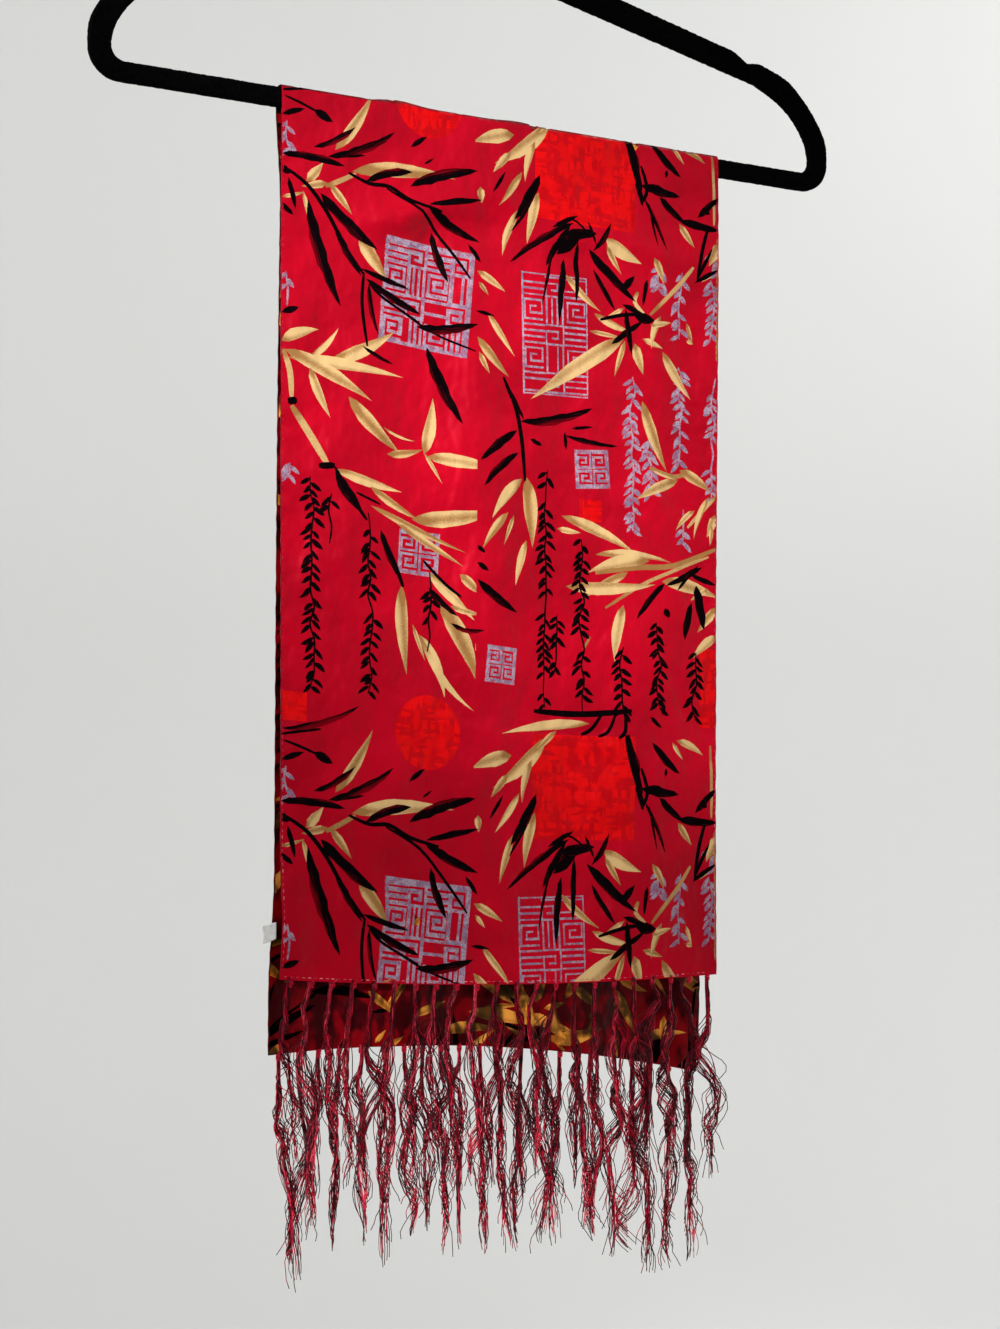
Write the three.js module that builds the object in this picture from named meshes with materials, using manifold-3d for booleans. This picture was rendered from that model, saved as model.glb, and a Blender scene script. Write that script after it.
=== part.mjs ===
// A fringed satin scarf folded over the bar of a flocked clothes hanger.
// Millimetres, +Z up, front facing -Y. The origin is the crown of the hook's inside, where it hangs on a rail.
import * as THREE from 'three';
import Module from 'manifold-3d';

const wasm = await Module();
wasm.setup();

// ---- Driving dimensions -------------------------------------------------------------------------------

// Hanger: one flat moulding of arms and bar, and a wire hook in its neck.
const HANGER_WIDTH = 450;
const HANGER_DEPTH = 6;
const EDGE_ROUND = 1.5;
const BAR_HEIGHT = 10.5;
const NECK_RISE = 112; // from the bar's top to the top of the neck
const NECK_WIDTH = 17;
const HOOK_RISE = 93; // from the top of the neck to the hook's inner crown
const HOOK_INNER_RADIUS = 19;
const WIRE_RADIUS = 2;
const SOCKET_DEPTH = 13;
const CLEARANCE = 0.3; // between pieces that meet

// Scarf: one length of satin over the bar, off the hanger's middle, and a knotted fringe at each end.
const SCARF_CENTRE_X = 13.5;
const CLOTH_WALL = 1.2;
const STRIP_WALL = 1.8;
const STRIP_HEIGHT = 2.6;
const TUFTS = 22;
const STRANDS_IN_TUFT = 4;
const STRAND_RADIUS = 0.75;
const ROOT_SPACING = 1.9;
const TIP_SPACING = 2.5;
const STRAND_STEPS = 5;
const TIP_SHARE = 0.7; // of a strand's thickness is left at its tip
const LENGTH_SPREAD = 0.09; // of a fringe's length, from strand to strand
const SHARED_WAVE = 2.4; // sideways at the tips, in step along the hem
const TUFT_DRIFT = 1.1; // and from tuft to tuft
const DEPTH_SPREAD = 1.4;
const DEPTH_WAVE = 1.8;
const STRIP_INSET = 1; // of the fringe's strip from the cloth's edges

// How the cloth hangs.
const MOST_INWARD = -2.2; // how far a fall may hang inwards of the bar's face
const SWING_POWER = 1.5; // a fall swings out faster towards its hem
const FOLD_FADE = 40; // over which a fold dies out
const WAIST_TOP = 60; // over which the left edge draws in below the bar
const WAIST_FOOT = [0.81, 0.94]; // shares of the drop between which it comes out again

// Care label: a folded tape in the front fall's left seam.
const LABEL = { out: 8, height: 11, depth: 1, drop: 437 };

// One row for each half of the scarf. side: -1 in front of the bar and +1 behind it. hem: how far the hem lies
// below the bar's top at its left corner, middle and right corner. topHalf, hemLeft, hemRight: how far the edges
// lie from the scarf's centre. waist: how much its left edge is drawn in between. swingLeft, swingRight: how far
// the hem's corners stand off the bar's plane, + away from the bar. fringe: its length.
const FALLS = {
  front: {
    side: -1, hem: [460, 464, 460], topHalf: 134.5, hemLeft: 133.5, hemRight: 130, waist: 0,
    swingLeft: -1.5, swingRight: 2.5, fringe: 106,
  },
  back: {
    side: 1, hem: [498, 497, 514], topHalf: 134.5, hemLeft: 134.5, hemRight: 128.5, waist: 3,
    swingLeft: -1, swingRight: 13, fringe: 104,
  },
};

// Soft folds that run down the cloth. x: from the scarf's centre. wide: half width. out: depth, + away from the
// bar. from, to: where along the drop it fades in and out. lean: sideways run from its top to its foot.
const FOLDS = {
  front: [
    { x: -92, wide: 26, out: 3.0, from: 120, to: 470, lean: -14 },
    { x: -44, wide: 17, out: -2.4, from: 20, to: 180, lean: 30 },
    { x: -20, wide: 22, out: 3.4, from: 30, to: 330, lean: 26 },
    { x: 34, wide: 24, out: -2.2, from: 150, to: 460, lean: -10 },
    { x: 78, wide: 26, out: 3.2, from: 210, to: 470, lean: 12 },
    { x: 118, wide: 15, out: -1.6, from: 60, to: 300, lean: -6 },
  ],
  back: [
    { x: -104, wide: 24, out: 5.0, from: 60, to: 520, lean: 16 },
    { x: -58, wide: 21, out: -2.0, from: 140, to: 520, lean: 10 },
    { x: -12, wide: 27, out: 7.0, from: 90, to: 520, lean: -12 },
    { x: 42, wide: 22, out: -2.0, from: 180, to: 520, lean: 8 },
    { x: 84, wide: 24, out: 6.0, from: 40, to: 520, lean: 14 },
    { x: 122, wide: 15, out: -4.0, from: 240, to: 520, lean: -4 },
  ],
};

// Where the cloth stands up a little off the bar. x: from the scarf's centre. up: by how much.
const RIDGE_BUMPS = [
  { x: -66, wide: 12, up: 1.9 },
  { x: 5, wide: 10, up: 1.1 },
];

// ---- Derived places -----------------------------------------------------------------------------------

const BAR_TOP = -HOOK_RISE - NECK_RISE;
const NECK_TOP = -HOOK_RISE;
const FOLD_FLAT = HANGER_DEPTH / 2 - EDGE_ROUND; // half of the bar's flat top, which the cloth lies on
const FOLD_RADIUS = EDGE_ROUND + CLEARANCE + CLOTH_WALL / 2;
const FOLD_LENGTH = FOLD_FLAT + (FOLD_RADIUS * Math.PI) / 2; // of cloth, from the ridge to the vertical

// ---- Materials ----------------------------------------------------------------------------------------

const finish = (color, roughness, metalness = 0) =>
  new THREE.MeshStandardMaterial({ color, roughness, metalness });

const SATIN = finish('#b50f24', 0.38);
const SATIN_SHADED = finish('#8e0c1c', 0.42);
const FRINGE = finish('#7a0f22', 0.6);
const FLOCK = finish('#0a0a0c', 0.95);
const CHROME = finish('#c9ccd0', 0.2, 1);
const LABEL_TAPE = finish('#f2f1ee', 0.8);

// ---- Helpers ------------------------------------------------------------------------------------------

const clamp01 = (value) => Math.min(1, Math.max(0, value));
const smooth = (value) => clamp01(value) ** 2 * (3 - 2 * clamp01(value));
const mix = (a, b, share) => a + (b - a) * share;
const bell = (distance, halfWidth) => Math.exp(-((distance / halfWidth) ** 2));

function meshOf(name, geometry, material) {
  geometry.computeVertexNormals();
  const mesh = new THREE.Mesh(geometry, material);
  mesh.name = name;
  return mesh;
}

function indexed(points, triangles) {
  const geometry = new THREE.BufferGeometry();
  geometry.setAttribute('position', new THREE.Float32BufferAttribute(points.flat(), 3));
  geometry.setIndex(triangles);
  return geometry;
}

// A closed wall between two faces of the same grid: pointAt(row, column, face) with face +1 or -1.
function wallBetween(rows, columns, pointAt) {
  const points = [];
  const triangles = [];
  for (const face of [1, -1]) {
    for (let row = 0; row <= rows; row++) {
      for (let column = 0; column <= columns; column++) points.push(pointAt(row, column, face));
    }
  }
  const at = (row, column, face) => (face > 0 ? 0 : (rows + 1) * (columns + 1)) + row * (columns + 1) + column;
  const quad = (a, b, c, d) => triangles.push(a, b, c, a, c, d);
  for (let row = 0; row < rows; row++) {
    for (let column = 0; column < columns; column++) {
      quad(at(row, column, 1), at(row + 1, column, 1), at(row + 1, column + 1, 1), at(row, column + 1, 1));
      quad(at(row, column, -1), at(row, column + 1, -1), at(row + 1, column + 1, -1), at(row + 1, column, -1));
    }
    quad(at(row, 0, -1), at(row + 1, 0, -1), at(row + 1, 0, 1), at(row, 0, 1));
    quad(at(row, columns, 1), at(row + 1, columns, 1), at(row + 1, columns, -1), at(row, columns, -1));
  }
  for (let column = 0; column < columns; column++) {
    quad(at(0, column, 1), at(0, column + 1, 1), at(0, column + 1, -1), at(0, column, -1));
    quad(at(rows, column, -1), at(rows, column + 1, -1), at(rows, column + 1, 1), at(rows, column, 1));
  }
  return indexed(points, triangles);
}

function manifoldOf(geometry) {
  const position = geometry.attributes.position.array;
  const mesh = new wasm.Mesh({
    numProp: 3,
    vertProperties: new Float32Array(position),
    triVerts: new Uint32Array(geometry.index.array),
  });
  return new wasm.Manifold(mesh);
}

function geometryOf(solid) {
  const { vertProperties, triVerts } = solid.getMesh();
  const geometry = new THREE.BufferGeometry();
  geometry.setAttribute('position', new THREE.BufferAttribute(vertProperties, 3));
  geometry.setIndex(new THREE.BufferAttribute(triVerts, 1));
  return geometry;
}

// A geometry with only shared corners and their triangles, as a boolean needs.
function welded(geometry) {
  const source = geometry.index ? geometry.toNonIndexed() : geometry;
  const position = source.attributes.position;
  const places = new Map();
  const points = [];
  const corners = [];
  for (let i = 0; i < position.count; i++) {
    const point = [position.getX(i), position.getY(i), position.getZ(i)];
    const key = point.map((value) => Math.round(value * 1e4)).join();
    if (!places.has(key)) {
      places.set(key, points.length);
      points.push(point);
    }
    corners.push(places.get(key));
  }
  const triangles = [];
  for (let i = 0; i < corners.length; i += 3) {
    const [a, b, c] = corners.slice(i, i + 3);
    if (a !== b && b !== c && c !== a) triangles.push(a, b, c);
  }
  return indexed(points, triangles);
}

// ---- Hanger -------------------------------------------------------------------------------------------

// The right half of the moulding, x from its middle and z from the bar's top, from the neck down to the bar.
const SHOULDER = {
  neckFoot: { x: 15, z: 98.5 },
  notchStart: { x: 161, z: 64.6 },
  notchFloor: { x: 170, z: 58.8 },
  notchEnd: { x: 178, z: 60 },
  outerCurve: [
    { x: 197, z: 53.5 },
    { x: 209, z: 43 },
    { x: 218, z: 31.5 },
    { x: 224, z: 20 },
  ],
  outerCorner: 17,
  innerApex: { x: 6, z: 84.8 },
  innerShoulder: { x: 176, z: 47.5 },
  innerCurve: [
    { x: 191.5, z: 40 },
    { x: 202.5, z: 31 },
    { x: 210.5, z: 19 },
  ],
  innerCorner: 7,
};

// Half of the outer outline, from the neck round the shoulder to the bar's underside.
function outerHalf() {
  const half = HANGER_WIDTH / 2;
  const radius = SHOULDER.outerCorner;
  const { neckFoot, notchStart, notchFloor, notchEnd } = SHOULDER;
  const points = [
    [NECK_WIDTH / 2, NECK_RISE],
    [NECK_WIDTH / 2, neckFoot.z + 4],
  ];
  for (const place of [neckFoot, notchStart, notchFloor, notchEnd]) points.push([place.x, place.z]);
  const last = { x: half, z: radius - BAR_HEIGHT + 3 };
  points.push(...curveThrough([notchEnd, ...SHOULDER.outerCurve, last], 14));
  points.push(...cornerBelow(half, radius - BAR_HEIGHT, radius, 8));
  return points;
}

// Half of the opening's outline, from under the neck to the bar's top.
function innerHalf() {
  const edge = SHOULDER.innerCurve.at(-1).x + 2.5;
  const radius = SHOULDER.innerCorner;
  const { innerApex, innerShoulder } = SHOULDER;
  const points = [
    [innerApex.x, innerApex.z],
    [innerShoulder.x, innerShoulder.z],
  ];
  const last = { x: edge, z: radius + 2 };
  points.push(...curveThrough([innerShoulder, ...SHOULDER.innerCurve, last], 11));
  points.push(...cornerBelow(edge, radius, radius, 5));
  return points;
}

// Points of a smooth curve through places, without the first one.
function curveThrough(places, steps) {
  const curve = new THREE.SplineCurve(places.map(({ x, z }) => new THREE.Vector2(x, z)));
  const points = curve.getPoints(steps).slice(1);
  return points.map((point) => [point.x, point.y]);
}

// A quarter turn from (edge, top) down and inwards to the level below it.
function cornerBelow(edge, top, radius, steps) {
  return Array.from({ length: steps }, (_, step) => {
    const turn = ((step + 1) / steps) * (Math.PI / 2);
    return [edge - radius * (1 - Math.cos(turn)), top - radius * Math.sin(turn)];
  });
}

// A half outline and its mirror image as one clockwise loop, moved inwards to leave room for the rounded edge.
function mirroredLoop(half, inwards) {
  const mirrored = half.toReversed().map(([x, z]) => [-x, z]);
  const loop = [...half, ...mirrored].map(([x, z]) => new THREE.Vector2(x, z));
  return loop.map((point, i) => {
    const before = loop.at(i - 1);
    const after = loop[(i + 1) % loop.length];
    const normalBefore = new THREE.Vector2(point.y - before.y, before.x - point.x).normalize();
    const normalAfter = new THREE.Vector2(after.y - point.y, point.x - after.x).normalize();
    const normal = normalBefore.clone().add(normalAfter).normalize();
    return point.clone().addScaledVector(normal, inwards / normal.dot(normalBefore));
  });
}

function hangerFrame() {
  const shape = new THREE.Shape(mirroredLoop(outerHalf(), EDGE_ROUND));
  shape.holes.push(new THREE.Path(mirroredLoop(innerHalf(), -EDGE_ROUND).reverse()));
  const geometry = new THREE.ExtrudeGeometry(shape, {
    depth: HANGER_DEPTH - 2 * EDGE_ROUND,
    bevelEnabled: true,
    bevelThickness: EDGE_ROUND,
    bevelSize: EDGE_ROUND,
    bevelSegments: 2,
  });
  geometry.translate(0, 0, -HANGER_DEPTH / 2 + EDGE_ROUND);
  geometry.rotateX(Math.PI / 2);
  geometry.translate(0, 0, BAR_TOP);
  const socketRadius = WIRE_RADIUS + CLEARANCE;
  const socket = new THREE.CylinderGeometry(socketRadius, socketRadius, 2 * SOCKET_DEPTH, 12);
  socket.rotateX(Math.PI / 2);
  socket.translate(0, 0, NECK_TOP);
  const solid = manifoldOf(welded(geometry)).subtract(manifoldOf(welded(socket)));
  return meshOf('hanger_frame', geometryOf(solid), FLOCK);
}

// The hook's wire: from its free end over the crown, round the outside and back under to the stem.
function hook() {
  const radius = HOOK_INNER_RADIUS + WIRE_RADIUS;
  const centreZ = -HOOK_INNER_RADIUS;
  const points = [];
  const tipAngle = 205;
  const lastAngle = -48;
  const steps = 20;
  for (let step = 0; step <= steps; step++) {
    const angle = THREE.MathUtils.degToRad(mix(tipAngle, lastAngle, step / steps));
    points.push(new THREE.Vector3(radius * Math.cos(angle), 0, centreZ + radius * Math.sin(angle)));
  }
  points.push(new THREE.Vector3(5, 0, centreZ - radius - 2.5));
  points.push(new THREE.Vector3(0.6, 0, centreZ - radius - 10.5));
  points.push(new THREE.Vector3(0, 0, centreZ - radius - 20));
  points.push(new THREE.Vector3(0, 0, NECK_TOP));
  points.push(new THREE.Vector3(0, 0, NECK_TOP - SOCKET_DEPTH + CLEARANCE));
  const sides = 8;
  const section = new THREE.Shape();
  for (let side = 0; side < sides; side++) {
    const angle = (side / sides) * 2 * Math.PI;
    const draw = side ? 'lineTo' : 'moveTo';
    section[draw](WIRE_RADIUS * Math.cos(angle), WIRE_RADIUS * Math.sin(angle));
  }
  section.closePath();
  const geometry = new THREE.ExtrudeGeometry(section, {
    steps: 46,
    bevelEnabled: false,
    extrudePath: new THREE.CatmullRomCurve3(points, false, 'centripetal'),
  });
  return meshOf('hook', welded(geometry), CHROME);
}

// ---- Scarf --------------------------------------------------------------------------------------------

// A curve through three values, at shares 0, 0.5 and 1.
const through = ([first, middle, last], share) =>
  first * (1 - share) * (1 - 2 * share) + middle * 4 * share * (1 - share) + last * share * (2 * share - 1);

// How far the cloth stands off its vertical plane at x from the centre and this far down from the bar.
function billow(name, x, down) {
  const fall = FALLS[name];
  const across = clamp01((x + fall.topHalf) / (2 * fall.topHalf));
  const swing = mix(fall.swingLeft, fall.swingRight, across) * (down / fall.hem[0]) ** SWING_POWER;
  const folds = FOLDS[name].reduce((sum, fold) => {
    const share = clamp01((down - fold.from) / (fold.to - fold.from));
    const fadeOut = 1 - smooth((down - fold.to) / FOLD_FADE + 1);
    const fade = Math.sin(Math.PI * Math.min(share, 0.5)) * fadeOut;
    const centre = fold.x + fold.lean * (share - 0.5);
    return sum + fold.out * fade * bell(x - centre, fold.wide);
  }, 0);
  return Math.max(swing + folds, MOST_INWARD);
}

const ridgeRise = (x) => RIDGE_BUMPS.reduce((sum, bump) => sum + bump.up * bell(x - bump.x, bump.wide), 0);

// The whole length of cloth from the ridge to the hem at a share of the width, 0 at the left edge.
const lengthAt = (fall, across) => FOLD_LENGTH + through(fall.hem, across) - EDGE_ROUND;

// A point of a fall: a share of its width, a length of cloth from the ridge, and a lift off the middle surface.
function clothPoint(name, across, along, lift) {
  const fall = FALLS[name];
  const down = Math.max(0, along - FOLD_LENGTH);
  const share = smooth(down / fall.hem[0]);
  const [footTop, footEnd] = WAIST_FOOT;
  const footShare = smooth((down / fall.hem[0] - footTop) / (footEnd - footTop));
  const waist = fall.waist * smooth(down / WAIST_TOP) * (1 - footShare);
  const left = waist - mix(fall.topHalf, fall.hemLeft, share);
  const right = mix(fall.topHalf, fall.hemRight, share);
  const x = mix(left, right, across);
  const radius = FOLD_RADIUS + lift;
  const turn = clamp01((along - FOLD_FLAT) / (FOLD_LENGTH - FOLD_FLAT)) * (Math.PI / 2);
  const out = Math.min(along, FOLD_FLAT) + radius * Math.sin(turn) + billow(name, x, down);
  const rise = ridgeRise(x) * Math.max(0, Math.cos(turn)) + radius * Math.cos(turn);
  return [SCARF_CENTRE_X + x, fall.side * out, BAR_TOP - EDGE_ROUND + rise - down];
}

const CLOTH_COLUMNS = 22;
const FALL_ROWS = 22;
const TURN_SHARES = [0, 0.25, 0.5, 0.75]; // of the quarter turn over the bar's edge
const TURN_ROWS = [CLEARANCE / 2, ...TURN_SHARES.map((share) => mix(FOLD_FLAT, FOLD_LENGTH, share))];

// Turns a wall inside out where it is mirrored behind the bar.
function facingOut(name, geometry) {
  const index = geometry.index.array;
  for (let i = 0; FALLS[name].side > 0 && i < index.length; i += 3) {
    [index[i], index[i + 1]] = [index[i + 1], index[i]];
  }
  return geometry;
}

// One half of the scarf, from its seam on the bar to its hem.
function fall(name, material) {
  const rows = TURN_ROWS.length + FALL_ROWS;
  const geometry = wallBetween(rows, CLOTH_COLUMNS, (row, column, face) => {
    const across = column / CLOTH_COLUMNS;
    const below = (row - TURN_ROWS.length) / FALL_ROWS;
    const along = below < 0 ? TURN_ROWS[row] : mix(FOLD_LENGTH, lengthAt(FALLS[name], across), below);
    return clothPoint(name, across, along, (face * CLOTH_WALL) / 2);
  });
  return meshOf(`${name}_fall`, facingOut(name, geometry), material);
}

// ---- Fringe -------------------------------------------------------------------------------------------

// The strip that a fringe hangs from: it follows the hem, parted from it.
function stripGeometry(name) {
  const geometry = wallBetween(2, CLOTH_COLUMNS, (row, column, face) => {
    const inset = STRIP_INSET / (2 * FALLS[name].topHalf);
    const across = mix(inset, 1 - inset, column / CLOTH_COLUMNS);
    const along = lengthAt(FALLS[name], across) + CLEARANCE + (row / 2) * STRIP_HEIGHT;
    return clothPoint(name, across, along, (face * STRIP_WALL) / 2);
  });
  return facingOut(name, geometry);
}

// A three-sided strand through points, thinner towards its tip.
function strandGeometry(centres) {
  const points = [];
  const triangles = [];
  const sides = 3;
  centres.forEach(([x, y, z], ring) => {
    const radius = STRAND_RADIUS * mix(1, TIP_SHARE, ring / (centres.length - 1));
    for (let side = 0; side < sides; side++) {
      const angle = (side / sides) * 2 * Math.PI + Math.PI / 2;
      points.push([x + radius * Math.cos(angle), y + radius * Math.sin(angle), z]);
    }
  });
  for (let ring = 0; ring < centres.length - 1; ring++) {
    for (let side = 0; side < sides; side++) {
      const next = (side + 1) % sides;
      const [a, b] = [ring * sides + side, ring * sides + next];
      triangles.push(a, a + sides, b, b, a + sides, b + sides);
    }
  }
  const last = (centres.length - 1) * sides;
  triangles.push(0, 1, 2, last, last + 2, last + 1);
  return indexed(points, triangles);
}

// Strands wave together along the hem, so that neighbours stay apart, and a tuft's own strands spread out.
function strandCentres(name, tuft, strand) {
  const fall = FALLS[name];
  const across = (tuft + 0.5) / TUFTS;
  const place = strand - (STRANDS_IN_TUFT - 1) / 2;
  const root = clothPoint(name, across, lengthAt(fall, across) + CLEARANCE + STRIP_HEIGHT / 2, 0);
  const length = fall.fringe * (1 + LENGTH_SPREAD * Math.sin(tuft * 2.3 + strand * 1.7 + fall.side));
  const drift = TUFT_DRIFT * Math.sin(tuft * 1.9 + fall.side);
  const centres = [];
  for (let step = 0; step <= STRAND_STEPS; step++) {
    const share = step / STRAND_STEPS;
    const spread = place * mix(ROOT_SPACING, TIP_SPACING, share);
    const wave = SHARED_WAVE * share * Math.sin(across * 9 + share * 5.2);
    const depthWave = DEPTH_WAVE * share * Math.sin(across * 13 + share * 4);
    const depthSpread = DEPTH_SPREAD * share * (strand % 2 ? 1 : -1);
    centres.push([
      root[0] + spread + wave + drift * share,
      root[1] + depthWave + depthSpread,
      root[2] - length * share,
    ]);
  }
  return centres;
}

function fringe(name) {
  let solid = manifoldOf(stripGeometry(name));
  for (let tuft = 0; tuft < TUFTS; tuft++) {
    for (let strand = 0; strand < STRANDS_IN_TUFT; strand++) {
      solid = solid.add(manifoldOf(strandGeometry(strandCentres(name, tuft, strand))));
    }
  }
  return meshOf(`${name}_fringe`, geometryOf(solid), FRINGE);
}

// ---- Label --------------------------------------------------------------------------------------------

function careLabel() {
  const [edgeX, edgeY] = clothPoint('front', 0, LABEL.drop + FOLD_LENGTH, 0);
  const geometry = new THREE.BoxGeometry(LABEL.out, LABEL.depth, LABEL.height);
  geometry.translate(edgeX - CLEARANCE - LABEL.out / 2, edgeY, BAR_TOP - LABEL.drop);
  return meshOf('care_label', welded(geometry), LABEL_TAPE);
}

// ---- The whole ----------------------------------------------------------------------------------------

const scarf = new THREE.Group();
scarf.add(fall('front', SATIN), fall('back', SATIN_SHADED), fringe('front'), fringe('back'), careLabel());

const hanger = new THREE.Group();
hanger.add(hangerFrame(), hook());

const group = new THREE.Group();
group.add(hanger, scarf);

export default group;
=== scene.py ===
"""A printed satin scarf with knotted fringe, folded over the bar of a flocked clothes hanger.

Sizes are in millimetres unless a comment says otherwise, and MM turns them into the frame's metres.
The cloth is drawn flat first: s runs across it from its left edge, and t runs along it from the
ridge over the bar, + down the front and - down the back.
"""

import math
import random

import bmesh
import bpy
import numpy as np
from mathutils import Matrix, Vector
from mathutils.geometry import delaunay_2d_cdt


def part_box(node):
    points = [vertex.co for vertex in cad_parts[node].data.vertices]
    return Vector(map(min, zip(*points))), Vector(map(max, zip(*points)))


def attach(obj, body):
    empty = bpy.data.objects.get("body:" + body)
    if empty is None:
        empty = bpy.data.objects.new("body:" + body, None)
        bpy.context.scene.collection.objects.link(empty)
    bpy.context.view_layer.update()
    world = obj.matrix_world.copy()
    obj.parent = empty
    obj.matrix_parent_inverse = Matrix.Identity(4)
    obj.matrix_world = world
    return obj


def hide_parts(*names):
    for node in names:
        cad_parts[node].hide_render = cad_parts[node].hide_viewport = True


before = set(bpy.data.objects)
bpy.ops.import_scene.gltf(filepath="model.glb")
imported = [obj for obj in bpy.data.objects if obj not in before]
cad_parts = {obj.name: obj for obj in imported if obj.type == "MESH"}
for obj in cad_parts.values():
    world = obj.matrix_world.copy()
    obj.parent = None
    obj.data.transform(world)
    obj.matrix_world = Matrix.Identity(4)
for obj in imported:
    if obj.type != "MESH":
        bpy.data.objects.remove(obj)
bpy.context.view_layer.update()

MM = 0.001

# ---- The hanger's and the cloth's driving dimensions, as in the CAD solids ----

BAR_HEIGHT = 10.5
BAR_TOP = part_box("hanger_frame")[0].z / MM + BAR_HEIGHT
EDGE_ROUND = 1.5
FOLD_FLAT = 1.5
FOLD_RADIUS = 2.4
FOLD_LENGTH = FOLD_FLAT + FOLD_RADIUS * math.pi / 2
CENTRE_X = 13.5
WIDTH = 267.0
FRONT_CUT = 466.0
BACK_CUT = 505.0
CLOTH_HALF = 0.28  # half the thickness of the two layers

# side: -1 in front of the bar, +1 behind it. hem: below the bar's top at the left, middle and right.
# top_half, left, right: from the centre to the edges. waist: how far the left edge draws in.
# swing: how far the hem's corners stand off the bar's plane. fringe: its length.
FALLS = {
    "front": dict(side=-1, hem=(460, 464, 460), top_half=134.5, left=131.5, right=127.5, waist=0.0,
                  swing=(-1.5, 2.5), fringe=106.0, cut=FRONT_CUT),
    "back": dict(side=1, hem=(498, 497, 514), top_half=134.5, left=134.5, right=128.5, waist=3.0,
                 swing=(-1.0, 13.0), fringe=104.0, cut=BACK_CUT),
}
WAIST_TOP = 60.0
WAIST_FOOT = (0.81, 0.94)
MOST_INWARD = -2.2
FOLD_FADE = 40.0
BILLOW_FADE = 12.0  # the folds start this gently below the ridge
INWARD_EASE = 0.3  # how softly the cloth stops at its most inward place

# Soft folds down the cloth, as in the solids: x, half width, depth, from, to, lean.
FOLDS = {
    "front": [
        (-92, 26, 3.0, 120, 470, -14), (-44, 17, -2.4, 20, 180, 30), (-20, 22, 3.4, 30, 330, 26),
        (34, 24, -2.2, 150, 460, -10), (78, 26, 3.2, 210, 470, 12), (118, 15, -1.6, 60, 300, -6),
    ],
    "back": [
        (-104, 24, 5.0, 60, 520, 16), (-58, 21, -2.0, 140, 520, 10), (-12, 27, 7.0, 90, 520, -12),
        (42, 22, -2.0, 180, 520, 8), (84, 24, 6.0, 40, 520, 14), (122, 15, -4.0, 240, 520, -4),
    ],
}
RIDGE_BUMPS = [(-66, 12, 1.9), (5, 10, 1.1)]  # x, half width, rise

# Finer creases: s, t of the middle, heading in degrees, length, half width, depth (+ away from the bar).
CREASES = [
    (78, 58, -8, 110, 7.5, 3.6), (112, 70, -10, 96, 7, -2.4), (134, 46, 44, 80, 7.5, 2.2),
    (40, 30, 60, 50, 8, 1.4), (176, 74, -16, 84, 7.5, -2.2), (222, 62, 16, 84, 8, 2.6),
    (8, 440, 86, 84, 13, 4.2), (60, 430, 24, 90, 9, 2.2), (120, 446, -12, 90, 8, -1.8),
    (206, 440, 14, 90, 9, 1.8), (22, 170, 84, 120, 10, 1.0), (150, 190, 80, 150, 9, 0.9),
    (200, 150, 96, 110, 8, -0.8), (236, 250, 86, 150, 10, 1.1), (84, 280, 94, 130, 9, -0.9),
    (120, 360, 88, 120, 10, 1.0), (44, 380, 82, 130, 11, -1.0), (186, 400, 96, 110, 10, 0.9),
    (250, 400, 88, 90, 7, -0.9), (133, 318, 0, 300, 1.6, -0.45), (133, 326, 1, 260, 3.5, 0.3),
    (133, 12, 0, 300, 5, 0.25), (50, -70, 12, 90, 9, 1.3), (140, -90, -16, 100, 9, -1.1),
    (210, -60, 64, 80, 9, 1.0), (80, -180, 92, 130, 10, 1.1), (180, -220, 84, 150, 9, -1.0),
    (30, -300, 88, 160, 9, -0.9), (120, -330, 96, 140, 10, 1.0), (230, -300, 86, 160, 10, 1.1),
    (70, -430, 92, 110, 9, 1.0), (160, -440, 86, 110, 10, -1.0), (133, -322, 0, 300, 1.8, -0.45),
    (220, -450, 95, 90, 9, 0.8),
]
PUCKER = 0.3  # how far the side seams wave
PUCKER_PITCH = 13.0
PUCKER_REACH = 4.0
CREASE_WANDER = 0.05  # how far a crease strays sideways, as a share of its length
PLAIN_RIDGE = 3.0  # no crease within this of the ridge
CREASE_FADE = 12.0

# ---- Small helpers ----


def smooth(share):
    share = np.clip(share, 0, 1)
    return share * share * (3 - 2 * share)


def mix(first, last, share):
    return first + (last - first) * share


def bell(distance, half_width):
    return np.exp(-((distance / half_width) ** 2))


def through(values, share):
    """A curve through three values, at shares 0, 0.5 and 1."""
    first, middle, last = values
    start = first * (1 - share) * (1 - 2 * share)
    return start + middle * 4 * share * (1 - share) + last * share * (2 * share - 1)


def unit(vectors):
    return vectors / np.linalg.norm(vectors, axis=-1, keepdims=True)


def linear(*screen):
    """A colour given as on a screen, 0 to 255, in the renderer's linear values."""
    shares = [value / 255 for value in screen]
    return (*(share / 12.92 if share < 0.0404 else ((share + 0.055) / 1.055) ** 2.4 for share in shares), 1)


def run_and_off(ds, dt, heading):
    """A step on the flat cloth, as its run along a heading in degrees and its way off to the side."""
    turn = math.radians(heading)
    return ds * math.cos(turn) + dt * math.sin(turn), dt * math.cos(turn) - ds * math.sin(turn)


def in_scene(name, data):
    """A new object in the scene that shows the data."""
    made = bpy.data.objects.new(name, data)
    bpy.context.scene.collection.objects.link(made)
    return made


def mesh_object(name, points, faces, in_mm=True):
    mesh = bpy.data.meshes.new(name)
    scaled = np.asarray(points, dtype=float) * (MM if in_mm else 1)
    mesh.from_pydata(scaled.tolist(), [], [tuple(face) for face in faces])
    mesh.polygons.foreach_set("use_smooth", [True] * len(mesh.polygons))
    mesh.update()
    return in_scene(name, mesh)


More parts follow.
